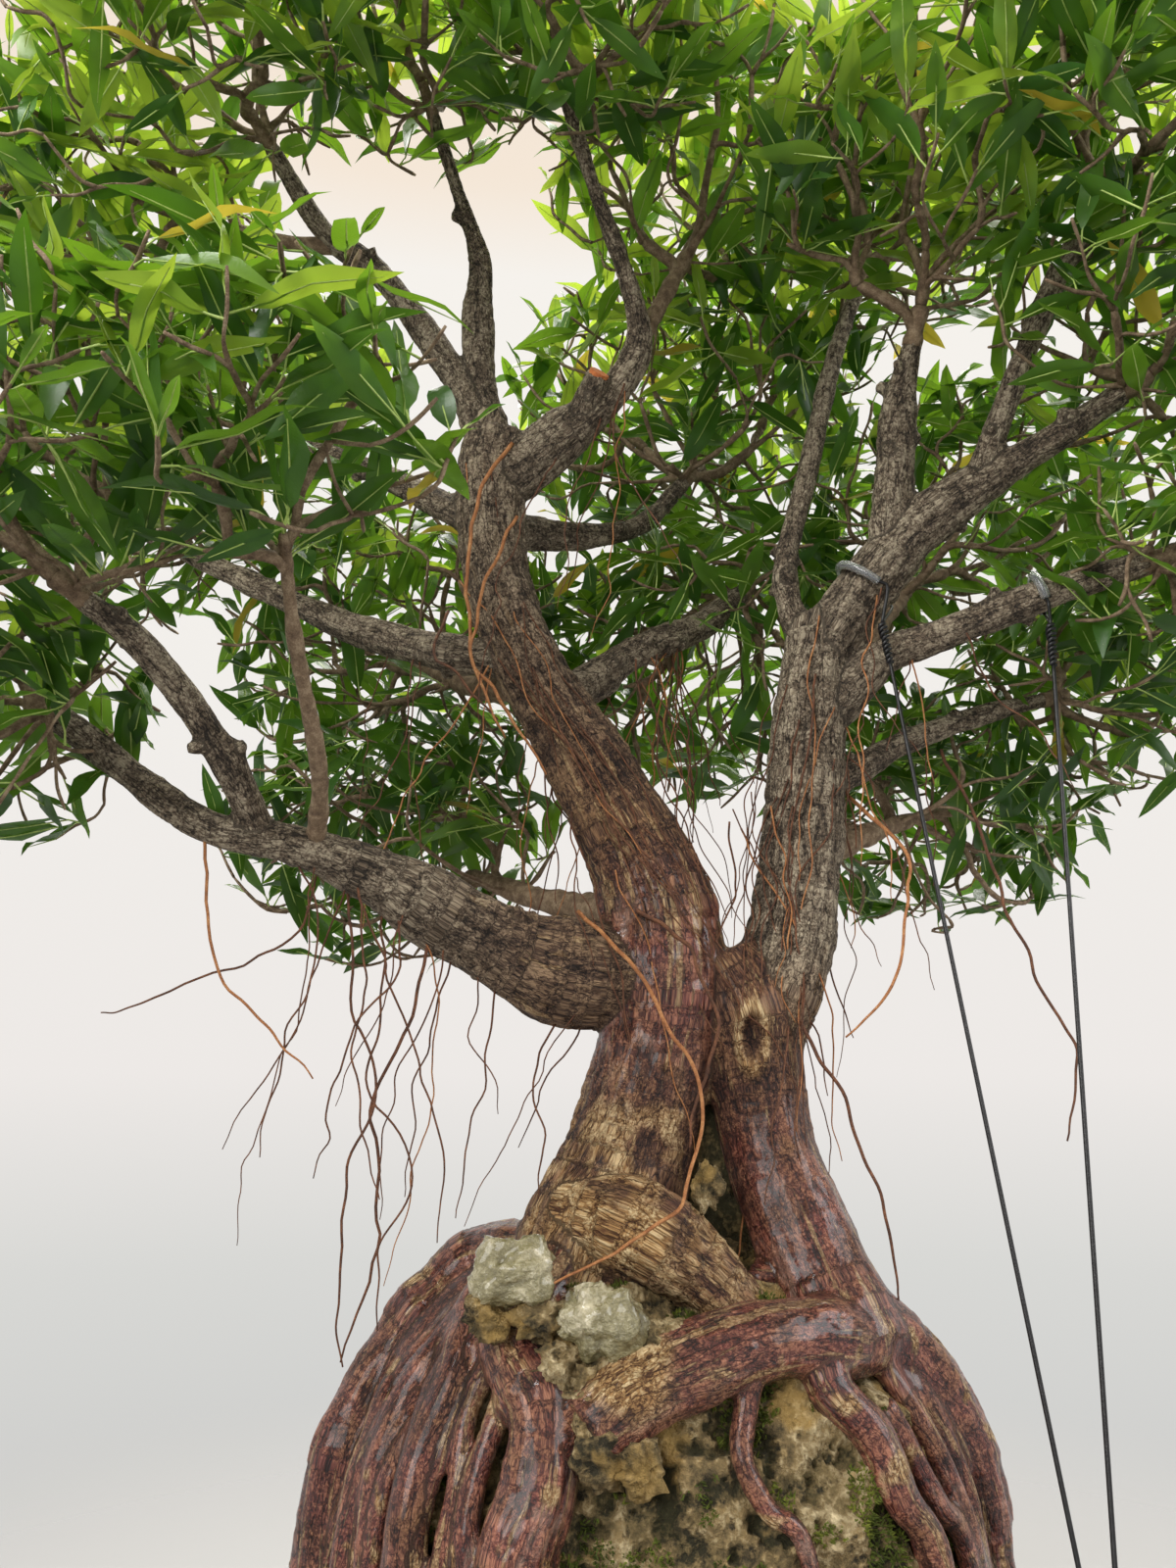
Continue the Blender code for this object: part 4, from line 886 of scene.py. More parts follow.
def makeMoss(points, normals):
    rng = np.random.default_rng(moss["seed"])
    patch = layeredNoise(points / mm / moss["patch"], moss["seed"], 3)
    x, y, z = (points / mm).T
    damp = 0.3 * easeStep(158, 186, z) * (y < 0) + 0.2 * easeStep(0, -30, x) * (y < 0)
    buried = nearestGap(points) < 0.3 * mm
    ready = np.flatnonzero((patch + damp > moss["level"] + 0.15) & ~buried & (z > rock["foot"] + 1))
    pick = rng.choice(ready, moss["tufts"])
    feet = points[pick] + rng.normal(size=(len(pick), 3)) * 0.5 * mm
    piece = pieceFrom("mossTufts", [tuftParts(rng, feet, normals[pick],
                                              rng.uniform(*moss["height"], len(pick)),
                                              moss["width"])], mossLook, smooth=False)
    settle(piece, "stone")


def nearestGap(points):  # how far each point lies outside the wood
    gaps = np.empty(len(points))
    way = limbEnds[:, 4:7] - limbEnds[:, :3]
    size = (way ** 2).sum(-1)
    for low in range(0, len(points), 6000):
        spots = points[low:low + 6000, None]
        part = np.clip(((spots - limbEnds[:, :3]) * way).sum(-1) / size, 0, 1)
        gap = np.linalg.norm(spots - limbEnds[:, :3] - way * part[..., None], axis=-1)
        gap -= limbEnds[:, 3] + (limbEnds[:, 7] - limbEnds[:, 3]) * part
        gaps[low:low + 6000] = gap.min(axis=1)
    return gaps


pebbles = {"leftGlass": ((-58, -67, 227), (15, 8, 12)), "rightGlass": ((-28, -72, 212), (14.5, 9, 13))}
# gapFill fills the gap between the trunk's legs, where its dark colour is painted shade
rubble = {"gapStone": ((13, -30, 251), (6, 6, 9)), "gapFill": ((20, 8, 226), (25, 15, 41)),
          "crustHigh": ((-47, -66, 211), (12, 8, 8)), "crustMiddle": ((-42, -70, 199), (12, 8, 9)),
          "crustLow": ((-32, -73, 190), (12, 9, 10)), "crustLeft": ((-66, -64, 212), (8, 7, 8)),
          "crustRight": ((-8, -68, 205), (9, 8, 8)), "crustEnd": ((-27, -80, 178), (14, 9, 12)),
          "crustTip": ((-17, -83, 172), (9, 7, 8))}
lumpGrid = {"columns": 40, "rows": 24}


def lumpParts(place, half, order, rough):  # a rough ball of latitude rows
    columns, rows = lumpGrid["columns"], lumpGrid["rows"]
    turn = np.linspace(0, 2 * math.pi, columns, endpoint=False)
    tilt = np.linspace(-math.pi / 2, math.pi / 2, rows + 1)[1:-1]
    ball = np.array([(math.cos(b) * math.cos(a), math.cos(b) * math.sin(a), math.sin(b))
                     for b in tilt for a in turn] + [(0, 0, -1), (0, 0, 1)])
    swell = 1 + rough * layeredNoise(ball * 1.7 + order * 5, 41, 4)
    facet = np.abs(latticeNoise(ball * 2.6 + order * 3, 47)) * rough
    points = (ball * (swell - facet)[:, None] * half + place) * mm
    here = np.arange(columns)
    after = (here + 1) % columns
    base = (np.arange(rows - 2) * columns)[:, None]
    quads = np.stack([base + here, base + after, base + columns + after, base + columns + here], axis=-1)
    poles = (rows - 1) * columns
    foot = np.stack([after, here, np.full(columns, poles)], axis=-1)
    head = np.stack([poles - columns + here, poles - columns + after, np.full(columns, poles + 1)], axis=-1)
    return points, quads.reshape(-1, 4), np.vstack([foot, head])


def makePebbles():
    glass = [lumpParts(*spec, order, 0.3) for order, spec in enumerate(pebbles.values())]
    settle(pieceFrom("glassyStones", glass, glassyStone), "stone")
    crust = [lumpParts(*spec, order + 7, 0.42) for order, spec in enumerate(rubble.values())]
    piece = pieceFrom("rubble", crust, rockLook)
    points = meshPoints(piece.data) / mm
    # painted shade: the lump in the gap between the trunk's legs is darkened and greened like a deep hollow;
    # the other crust lumps darken only a little, at random
    shadedGap = (np.abs(points[:, 0] - 20) < 26) & (points[:, 1] > -16)
    addAttribute(piece.data, "hollow", np.where(shadedGap, 0.85, 0.1 + 0.3 * layeredNoise(points / 5, 51, 2)))
    settle(piece, "stone")


rockPoints, rockNormals = makeRock()
makeMoss(rockPoints, rockNormals)
makePebbles()
print("rock and moss made")

# tray and soil
tray = {"length": 400, "depth": 265, "height": 62, "wall": 9, "floor": 12, "corner": 34, "lipHeight": 11,
        "lipProud": 4, "footHeight": 8, "footInset": 16, "taper": 10, "hollowTaper": 12, "cornerSteps": 9,
        "sideSteps": 6}


def roundedRing(inset, height):  # a closed rounded rectangle, drawn in by the inset, with even points
    halfX = tray["length"] / 2 - inset
    halfY = tray["depth"] / 2 - inset
    corner = max(tray["corner"] - inset * 0.75, 6)
    ring = []
    for turn, (signX, signY) in enumerate(((1, 1), (-1, 1), (-1, -1), (1, -1))):
        for step in np.linspace(0, math.pi / 2, tray["cornerSteps"]):
            angle = turn * math.pi / 2 + step
            ring.append((signX * (halfX - corner) + corner * math.cos(angle),
                         signY * (halfY - corner) + corner * math.sin(angle), height))
    ring = np.array(ring)
    corners = ring.reshape(4, -1, 3)
    filled = []
    for i in range(4):
        filled.append(corners[i])
        shares = np.linspace(0, 1, tray["sideSteps"] + 2)[1:-1, None]
        filled.append(corners[i][-1] + (corners[(i + 1) % 4][0] - corners[i][-1]) * shares)
    return np.vstack(filled)


def trayProfile():  # (inset, height) from the middle of the underside, out, up, over the rim and in again
    low, high = tray["footHeight"], tray["height"]
    lip = high - tray["lipHeight"]
    proud = tray["lipProud"]
    slope = tray["taper"] / (high - low)
    profile = [(60, 0), (tray["footInset"] + 1.2, 0), (tray["footInset"], 1.2),
               (tray["footInset"], low - 0.6),
               (tray["footInset"] - 0.8, low), (tray["taper"] + 1.6, low), (tray["taper"] - 0.3, low + 1.4)]
    for height in np.linspace(low + 6, lip - 1.5, 7):
        profile.append((tray["taper"] - slope * (height - low), height))
    profile += [(-proud + 1.2, lip), (-proud, lip + 1.2), (-proud - 0.2, lip + 4), (-proud - 0.2, high - 3),
                (-proud, high - 1.0), (-proud + 1.2, high), (tray["wall"] - 1.2, high),
                (tray["wall"], high - 1.2)]
    for height in np.linspace(high - 6, tray["floor"] + 3, 6):
        inner = tray["wall"] + tray["hollowTaper"] * (82 - height) / (82 - tray["floor"])
        profile.append((inner, height))
    profile += [(tray["wall"] + tray["hollowTaper"] + 2, tray["floor"]), (60, tray["floor"])]
    return profile


def makeTray():
    rings = [roundedRing(inset, height) for inset, height in trayProfile()]
    count = len(rings[0])
    points = np.vstack(rings + [np.array([(0, 0, 0), (0, 0, tray["floor"])])]) * mm
    here = np.arange(count)
    after = (here + 1) % count
    base = (np.arange(len(rings) - 1) * count)[:, None]
    quads = np.stack([base + here, base + after, base + count + after, base + count + here],
                     axis=-1).reshape(-1, 4)
    middle = len(rings) * count
    foot = np.stack([np.full(count, middle), after, here], axis=-1)
    top = (len(rings) - 1) * count
    head = np.stack([np.full(count, middle + 1), top + here, top + after], axis=-1)
    piece = pieceFrom("clayTray", [(points, quads, np.vstack([foot, head]))], clayLook)
    piece.data.set_sharp_from_angle(angle=math.radians(38))
    settle(piece, "clay", "tray")


soil = {"top": 55, "step": 3.0, "bump": 1.6, "grains": 5200, "size": (0.9, 2.6), "moss": 9000, "seed": 12}


def insideTray(x, y, inset):  # how far inside the tray's inner wall a place in millimetres lies
    halfX = tray["length"] / 2 - inset
    halfY = tray["depth"] / 2 - inset
    corner = tray["corner"] - tray["wall"]
    outX = np.maximum(np.abs(x) - (halfX - corner), 0)
    outY = np.maximum(np.abs(y) - (halfY - corner), 0)
    return corner - np.hypot(outX, outY)


def soilHeight(x, y):
    spots = np.stack([x, y, np.zeros_like(x)], axis=1)
    lumps = layeredNoise(spots / 26, 51, 3) * soil["bump"] + layeredNoise(spots / 5, 57, 2) * 0.7
    return soil["top"] + np.minimum(lumps, 2.6)


def makeSoil():
    inset = tray["wall"] + tray["hollowTaper"] * (82 - soil["top"]) / (82 - tray["floor"]) + 0.3
    rings = []
    for level in np.linspace(0, 1, 44):
        ring = roundedRing(inset, 0)
        ring[:, :2] *= 1 - level * 0.985
        rings.append(ring)
    rings = np.array(rings)
    flat = rings.reshape(-1, 3)
    flat[:, 2] = soilHeight(flat[:, 0], flat[:, 1])
    count = rings.shape[1]
    low = roundedRing(inset, soil["top"] - 5)
    points = np.vstack([low, flat, [(0, 0, soil["top"])], [(0, 0, soil["top"] - 5)]]) * mm
    here = np.arange(count)
    after = (here + 1) % count
    base = (np.arange(len(rings)) * count)[:, None]
    quads = np.stack([base + here, base + after, base + count + after, base + count + here],
                     axis=-1).reshape(-1, 4)
    top = len(rings) * count
    head = np.stack([np.full(count, top + count), top + here, top + after], axis=-1)
    foot = np.stack([np.full(count, top + count + 1), after, here], axis=-1)
    settle(pieceFrom("soilBed", [(points, quads, np.vstack([head, foot]))], soilLook), "earth", "soil")
    rng = np.random.default_rng(soil["seed"])
    x = rng.uniform(-1, 1, 60000) * (tray["length"] / 2 - inset - 3)
    y = rng.uniform(-1, 1, 60000) * (tray["depth"] / 2 - inset - 3)
    inTray = insideTray(x, y, inset + 3) > 0
    outRock = np.hypot((x - rock["middleX"]) / (rock["halfX"] + 1), y / (rock["halfY"] + 1)) > 1
    keep = np.flatnonzero(inTray & outRock)
    x, y = x[keep], y[keep]
    z = soilHeight(x, y)
    places = np.stack([x, y, z], axis=1)
    grains = places[:soil["grains"]]
    octahedron = np.array([(1, 0, 0), (0, 1, 0), (-1, 0, 0), (0, -1, 0), (0, 0, 1), (0, 0, -1)], float)
    size = rng.uniform(*soil["size"], len(grains)) * rng.uniform(0.6, 1, len(grains))
    corners = grains[:, None] + octahedron * size[:, None, None] + rng.normal(size=(len(grains), 6, 3)) * 0.28
    sides = np.array([(0, 1, 4), (1, 2, 4), (2, 3, 4), (3, 0, 4), (1, 0, 5), (2, 1, 5), (3, 2, 5), (0, 3, 5)])
    triangles = (np.arange(len(grains)) * 6)[:, None, None] + sides
    settle(pieceFrom("soilGrains", [(corners.reshape(-1, 3) * mm, np.empty((0, 4), int),
                                     triangles.reshape(-1, 3))],
                     grainLook, smooth=False), "earth")
    patch = layeredNoise(places / 30, 61, 3)
    mossy = places[patch > 0.2][:soil["moss"]] * mm
    up = np.tile((0.0, 0.0, 1.0), (len(mossy), 1))
    settle(pieceFrom("soilMoss", [tuftParts(rng, mossy, up, rng.uniform(1.2, 3.0, len(mossy)), 0.7)],
                     mossLook, smooth=False), "earth")


makeTray()
makeSoil()
print("tray and soil made")

# guy wires: looped over a bough in a clear sleeve, twisted below it and pegged in the soil
guys = {"right": ("rightHigh", 0.185, (124, -106, 55)), "outer": ("rightMid", 0.72, (116, -112, 55))}
guyLook = {"wire": 0.75, "sleeve": 2.0, "bore": 1.25, "knotForward": 8, "twist": 20, "turns": 4.5}


def limbPlace(route, share):  # a place on a route by its share of the route's own smooth line
    line = smoothRoute(route, 2 if route[0][3] > 12 else 1) * mm
    at = share * (len(line) - 1)
    low = int(at)
    part = at - low
    middle = line[low, :3] * (1 - part) + line[low + 1, :3] * part
    return middle, line[low, 3] * (1 - part) + line[low + 1,
                                                    3] * part, unit(line[low + 1, :3] - line[low, :3])


def evenLine(points, radius, step=0.002):
    points = np.array(points, float)
    run = np.concatenate([[0], np.cumsum(np.linalg.norm(np.diff(points, axis=0), axis=1))])
    at = np.linspace(0, run[-1], max(4, int(run[-1] / step)))
    spots = np.stack([np.interp(at, run, points[:, i]) for i in range(3)], axis=1)
    return np.hstack([spots, np.full((len(spots), 1), radius)])


def makeGuys():
    wires, sleeves = [], []
    for bough, share, peg in guys.values():
        middle, reach, along = limbPlace(boughs[bough], share)
        up = unit(np.array((0, 0, 1)) - along * along[2])
        side = np.cross(along, up)
        reach += (0.3 + guyLook["sleeve"]) * mm
        turns = np.radians(np.linspace(-118, 118, 33))[:, None]
        arc = middle + (up * np.cos(turns) + side * np.sin(turns)) * reach
        pegSpot = np.array(peg) * mm
        knot = middle + unit(pegSpot - middle) * (reach + 9 * mm) - np.array((0, guyLook["knotForward"] * mm,
                                                                              0))
        down = unit(pegSpot - knot)
        thin = guyLook["wire"] * mm
        loop = smoothRoute([(*knot, 0), (*(arc[0] + (arc[0] - arc[2]) * 1.2), 0),
                            *[(*spot, 0) for spot in arc[::4]],
                            (*(arc[-1] + (arc[-1] - arc[-3]) * 1.2), 0), (*knot, 0)], 8)
        wires.append(tubeParts(evenLine(loop[:, :3], thin), 8))
        across = unit(np.cross(down, (0.2, 1, 0.1)))
        other = np.cross(down, across)
        twistLength = guyLook["twist"] * mm
        for phase in (0, math.pi):
            shares = np.linspace(0, 1, 70)[:, None]
            angle = phase + shares * guyLook["turns"] * 2 * math.pi
            widen = thin * (1.25 + 1.1 * np.abs(np.sin(shares * 7)) * (1 - shares))
            helix = (knot + down * shares * twistLength
                     + (across * np.cos(angle) + other * np.sin(angle)) * widen)
            wires.append(tubeParts(np.hstack([helix, np.full((len(helix), 1), thin)]), 8))
        straight = [knot + down * (twistLength - 2 * mm), pegSpot + np.array((0, 0, 1)) * 0.5 * mm]
        wires.append(tubeParts(evenLine(straight, thin * 1.1, 0.006), 8))
        outer = np.hstack([arc, np.full((len(arc), 1), guyLook["sleeve"] * mm)])
        inner = np.hstack([arc, np.full((len(arc), 1), guyLook["bore"] * mm)])
        sleeves.append(hollowTube(outer, inner, 20))
    settle(pieceFrom("guyWires", wires, wireLook), "black_wire", "guy_wire_right", "guy_wire_outer")
    settle(pieceFrom("guySleeves", sleeves, sleeveLook), "clear_tube", "guy_sleeve_right", "guy_sleeve_outer")


def hollowTube(outer, inner, sides):  # a pipe: outer wall, inner wall and two ring ends
    outside = tubeParts(outer, sides)
    inside = tubeParts(inner, sides)
    count = len(outer) * sides
    points = np.vstack([outside[0][:count], inside[0][:count]])
    here = np.arange(sides)
    after = (here + 1) % sides
    last = count - sides
    ends = [np.stack([here, after, after + count, here + count], axis=-1)[:, ::-1],
            np.stack([last + here, last + after, last + after + count, last + here + count], axis=-1)]
    return points, np.vstack([outside[1], inside[1][:, ::-1] + count] + ends), np.empty((0, 3), int)


makeGuys()
print("guy wires made")

# roots that hang in the air: routes in millimetres from the wood that they grow from
airRoots = {
    "frontLong": ("orange", 0.9, [(-36, -20, 356), (-17, -40, 334), (1, -48, 305), (9, -52, 284),
                                  (8, -56, 268),
                                  (-1, -66, 248), (-22, -76, 236), (-42, -82, 226)]),
    "topLong": ("orange", 1.0, [(-67, -8, 574), (-79, -18, 544), (-85, -20, 515), (-82, -18, 474),
                                (-71, -20, 447),
                                (-48, -22, 413)]),
    "topShort": ("orange", 0.9, [(-64, -10, 536), (-79, -18, 496), (-80, -19, 460), (-66, -20, 430)]),
    "beige": ("brown", 0.8, [(-96, 8, 498), (-99, -15, 468), (-86, -22, 455), (-69, -20, 438)]),
    "innerLong": ("brown", 0.9, [(-12, -22, 356), (6, -34, 341), (14, -38, 323), (17, -40, 307),
                                 (10, -42, 283),
                                 (4, -44, 266)]),
    "rightLoop": ("orange", 0.9, [(84, 14, 412), (103, -10, 381), (95, -18, 348), (87, -22, 324),
                                  (70, -22, 307)]),
    "rightFar": ("brown", 0.8, [(132, 30, 438), (146, 4, 368), (149, 0, 346), (159, -4, 318), (167, -6, 298),
                                (157, -8, 266)]),
    "rightLeg": ("brown", 0.8, [(52, -14, 314), (65, -18, 290), (71, -22, 266), (81, -26, 240),
                                (84, -28, 210)]),
    "leftReach": ("brown", 0.55, [(-136, -44, 372), (-146, -50, 339), (-177, -56, 326), (-200, -60, 315),
                                  (-210, -62, 314)]),
    "leftReach2": ("orange", 0.7, [(-178, -56, 380), (-168, -60, 331), (-149, -62, 309), (-130, -64, 291)]),
    "solidLeft": ("brown", 0.8, [(-93, -25, 353), (-98, -36, 318), (-112, -42, 282), (-108, -38, 246),
                                 (-119, -40, 192)]),
    "under1": ("brown", 0.65, [(-127, -40, 368), (-119, -48, 315), (-109, -52, 284), (-119, -56, 253),
                               (-119, -56, 215), (-115, -56, 195)]),
    "under2": ("brown", 0.55, [(-112, -36, 358), (-111, -44, 312), (-113, -48, 290), (-95, -50, 256),
                               (-106, -52, 230), (-107, -52, 205)]),
}
clinging = {"front": -90, "back": 12, "clear": 1.4,  # thin roots that run down over the front of the wood
            "lines": [((-84, 556), (-30, 400), 2), ((-96, 520), (4, 352), 2), ((-60, 470), (30, 330), 3),
                      ((62, 450), (34, 330), 6), ((44, 410), (40, 318), 5), ((-8, 470), (22, 350), 4),
                      ((-40, 440), (46, 300), 3), ((76, 420), (62, 290), 2), ((-30, 380), (8, 270), 3),
                      ((70, 470), (48, 250), 2), ((30, 390), (56, 250), 2)]}
hanging = {"radius": (0.3, 0.52), "seed": 19,
           "sources": [("leftLow", 0.3, 0.75, 11, (50, 150)), ("leftLow", 0.02, 0.3, 4, (40, 100)),
                       ("rightStem", 0.1, 0.7, 8, (50, 110)), ("rightMid", 0.1, 0.6, 3, (30, 80)),
                       ("topRight", 0.0, 0.4, 5, (80, 160)), ("leftMid", 0.05, 0.5, 5, (60, 130)),
                       ("rightLow", 0.1, 0.6, 3, (40, 90)), ("main", 0.35, 0.75, 9, (70, 150)),
                       ("lowBack", 0.15, 0.9, 18, (70, 150)), ("rightHigh", 0.0, 0.3, 5, (60, 140)),
                       ("rightMid", 0.0, 0.15, 3, (60, 120))]}


def wavyLine(route, radius, rng, wander=1.6):
    line = smoothRoute([(*spot, radius) for spot in route], 10)
    run = np.concatenate([[0], np.cumsum(np.linalg.norm(np.diff(line[:, :3], axis=0), axis=1))])
    phase = rng.uniform(0, 50)
    for axis in range(3):
        spots = np.stack([run / 17 + phase, run * 0 + axis * 7.3, run * 0], axis=1)
        line[:, axis] += layeredNoise(spots, 71, 2) * wander * easeStep(0, 12, run)
    line[:, 3] *= np.interp(run / run[-1], (0, 0.8, 1), (1, 0.75, 0.45))
    return line * mm


def makeAirRoots():
    rng = np.random.default_rng(hanging["seed"])
    kinds = {"orange": [], "brown": []}
    for look, radius, route in airRoots.values():
        kinds[look].append(tubeParts(wavyLine(route, radius, rng), 6))
    for source, low, high, count, lengths in hanging["sources"]:
        line = woodLines[source]
        for _ in range(count):
            place = line[int(rng.uniform(low, high) * (len(line) - 1))] / mm
            lean = rng.uniform(-1, 1, 2)
            start = place[:3] + np.array((0.25 * lean[0], min(0.0, lean[1]) - 0.2, -0.8)) * place[3] * 0.9
            length = rng.uniform(*lengths)
            bends = max(3, int(length / 26))
            route = [start]
            drift = rng.normal(size=3) * (0.25, 0.18, 0)
            for _ in range(bends):
                drift = 0.75 * drift + rng.normal(size=3) * (0.2, 0.14, 0.08)
                route.append(route[-1] + (np.array((0, -0.04, -1)) + drift) * length / bends)
            route = np.array(route)
            gaps = nearestGap(route[1:] * mm)
            keep = np.append(True, gaps > 2.5 * mm)
            if keep.sum() < 3:
                continue
            route = route[keep]
            shade = "orange" if rng.random() < 0.22 else "brown"
            kinds[shade].append(tubeParts(wavyLine(route, rng.uniform(*hanging["radius"]), rng, 2.2), 5))
    for (startX, startZ), (endX, endZ), count in clinging["lines"]:
        for _ in range(count):
            share = np.linspace(0, 1, 9)
            x = startX + (endX - startX) * share + np.cumsum(rng.normal(size=9)) * 3 + rng.normal() * 7
            z = startZ + (endZ - startZ) * share + rng.normal() * 9
            depths = np.arange(clinging["front"], clinging["back"], 2.0)
            grid = np.stack([np.repeat(x, len(depths)), np.tile(depths, 9), np.repeat(z, len(depths))],
                            axis=1)
            touching = (nearestGap(grid * mm) < clinging["clear"] * mm).reshape(9, -1)
            touching[:, -1] = True
            y = depths[touching.argmax(axis=1)]
            y[1:-1] = np.minimum(y[1:-1], (y[:-2] + y[2:]) / 2)
            route = np.stack([x, y, z], axis=1)
            shade = "orange" if rng.random() < 0.3 else "brown"
            kinds[shade].append(tubeParts(wavyLine(route, rng.uniform(*hanging["radius"]), rng, 1.2), 5))
    settle(pieceFrom("airRootsBrown", kinds["brown"], rootHair), "red_bark", "air_root_left",
           "air_root_front")
    settle(pieceFrom("airRootsOrange", kinds["orange"], rootOrange), "red_bark")


makeAirRoots()
print("air roots made")

# foliage: every mass keeps to its own ball, flattened by the same share
flatten = 0.75
masses = {  # middle, reach, bough and, where the stem doesn't go on from the bough's tip, its own route
    "left_low": ((-270, -72, 424), 76, "leftLow", None),
    "left_front": ((-226, -152, 496), 84, "leftRiser", None),
    "left_spur": ((-131, -166, 496), 66, None,
                  [(-138, -46, 377, 4), (-131, -76, 400, 3.2), (-133, -114, 438, 2.6), (-132, -140, 464, 2)]),
    "left_rear": ((-135, 112, 412), 94, None, [(-8, 6, 358, 8), (-50, 50, 370, 6), (-90, 84, 388, 4)]),
    "left_mid": ((-290, 84, 580), 84, "leftMid", None),
    "left_high": ((-228, 98, 672), 92, "leftHigh", None),
    "back_left": ((-133, 132, 528), 110, None, [(-58, 9, 462, 7), (-86, 46, 474, 5.8), (-112, 80, 494, 4)]),
    "top_left": ((-192, -98, 718), 84, "topLeft", None),
    "upper_left": ((-256, -24, 690), 82, None,
                   [(-148, -20, 669, 4), (-193, -30, 668, 3), (-222, -34, 675, 2.6)]),
    "top_centre": ((-110, -78, 742), 76, "topCentre", None),
    "top_middle": ((-34, -104, 730), 76, "topRight", None),
    "top_inner": ((38, 14, 744), 96, None, [(-10, -11, 620, 4.6), (11, 0, 670, 3.8), (26, 6, 705, 3)]),
    "back": ((28, 128, 674), 114, "back", None),
    "low_back": ((44, 138, 518), 110, "lowBack", None),
    "right_high": ((218, -62, 606), 86, "rightHigh", None),
    "right_stub": ((116, -76, 676), 82, "rightStub", None),
    "right_top": ((124, 44, 740), 92, "rightRearUp", None),
    "right_front": ((196, -116, 678), 82, "rightFrontUp", None),
    "right_mid": ((236, -54, 504), 76, "rightMid", None),
    "right_low": ((234, 74, 484), 84, "rightLow", None),
    "right_rear": ((156, 128, 430), 92, None, [(60, 8, 380, 7), (100, 42, 401, 5), (128, 72, 414, 3.4)]),
    "back_right": ((176, 120, 596), 102, None, [(68, 7, 450, 7), (104, 48, 496, 5), (138, 86, 542, 3.6)]),
}
growth = {"sprays": 98, "meanReach": 84, "ends": (0.3, 0.96), "tip": 0.8, "fork": 0.42, "step": 11,
          "seed": 40,
          "leaves": (7, 12), "leafGap": 3.2, "length": (40, 54), "width": 0.215, "stations": 6, "fold": 0.30,
          "droop": (0.02, 0.30), "petiole": 5.5, "proud": 12}


def roundedSpace(points):  # the space in which every mass is a true ball
    return np.asarray(points, float) * (1, 1, 1 / flatten)


balls = {name: (roundedSpace(np.array(spec[0]) * mm), spec[1] * mm) for name, spec in masses.items()}


def room(name, points):  # distance from each point to the edge of the mass's own space
    middle, reach = balls[name]
    spots = roundedSpace(points)
    own = ((spots - middle) ** 2).sum(-1) - reach ** 2
    least = reach - np.linalg.norm(spots - middle, axis=-1)
    for other, (otherMiddle, otherReach) in balls.items():
        if other != name:
            theirs = ((spots - otherMiddle) ** 2).sum(-1) - otherReach ** 2
            least = np.minimum(least, (theirs - own) / (2 * np.linalg.norm(otherMiddle - middle)))
    return least


def stemRoute(name):  # the first wood of the mass, from inside the bough's tip or out of the limb's middle
    bough, route = masses[name][2:]
    if route:
        return smoothRoute(route, 5) * mm
    line = woodLines[bough]
    heading = unit(line[-1, :3] - line[-3, :3])
    shares = np.linspace(-5, 12, 4)[:, None] * mm
    return np.hstack([line[-1, :3] + heading * shares, np.full((4, 1), 0.9 * boughs[bough][-1][3] * mm)])


def growTwigs(name, rng, count):  # each target is reached from the place on the twigs that costs least
    middle, reach = balls[name]
    stem = stemRoute(name)
    spots = list(stem[:, :3])
    parents = list(range(-1, len(stem) - 1))
    headings = [unit(stem[1, :3] - stem[0, :3])] + [unit(b[:3] - a[:3]) for a, b in zip(stem, stem[1:])]
    travelled = list(np.concatenate([[0], np.cumsum(np.linalg.norm(np.diff(stem[:, :3], axis=0), axis=1))]))
    firstFork = 1 if masses[name][3] is None else max(2, int(0.4 * len(stem)))
    targets = np.empty((0, 3))
    for _ in range(count):
        tries = unit(rng.normal(size=(60, 3))) * rng.uniform(*growth["ends"], (60, 1)) ** 0.75
        tries = (middle + tries * reach) * (1, 1, flatten)
        tries = tries[room(name, tries) > 2 * mm]
        if not len(tries):
            continue
        apart = np.linalg.norm(tries[:, None] - np.vstack([targets, spots[-1]])[None], axis=-1).min(axis=1)
        targets = np.vstack([targets, tries[apart.argmax()]])
    order = np.argsort(np.linalg.norm(targets - spots[-1], axis=1))
    paths = [list(range(len(stem)))]
    centre = middle * (1, 1, flatten)
    for target in targets[order]:
        places = np.array(spots[firstFork:])
        way = target - places
        far = np.linalg.norm(way, axis=1)
        bend = 1 - (way * np.array(headings[firstFork:])).sum(-1) / (far + 1e-9)
        source = firstFork + int(np.argmin(far * (1 + 0.35 * bend) + 0.25 * np.array(travelled[firstFork:])))
        way = target - spots[source]
        far = np.linalg.norm(way)
        if far < 8 * mm:
            continue
        outward = unit(target - centre)
        finish = unit(unit(way) * 0.8 + outward * 0.35 + np.array((0, 0, 0.45)))
        first = spots[source] + headings[source] * 0.3 * far + rng.normal(size=3) * 0.05 * far
        second = target - finish * 0.35 * far + rng.normal(size=3) * 0.04 * far
        t = np.linspace(0, 1, max(3, int(far / (growth["step"] * mm))) + 1)[1:, None]
        added = ((1 - t) ** 3 * spots[source] + 3 * t * (1 - t) ** 2 * first + 3 * t * t * (1 - t) * second
                 + t ** 3 * target)
        if (nearestGap(added[-2:]).min() < 3 * mm
                or (len(added) > 3 and nearestGap(added[1:]).min() < 1.2 * mm)):
            continue
        path = [source]
        for spot in added:
            spots.append(spot)
            parents.append(path[-1])
            headings.append(unit(spot - spots[path[-1]]))
            travelled.append(travelled[path[-1]] + np.linalg.norm(spot - spots[path[-1]]))
            path.append(len(spots) - 1)
        paths.append(path)
    return stem, np.array(spots), parents, paths


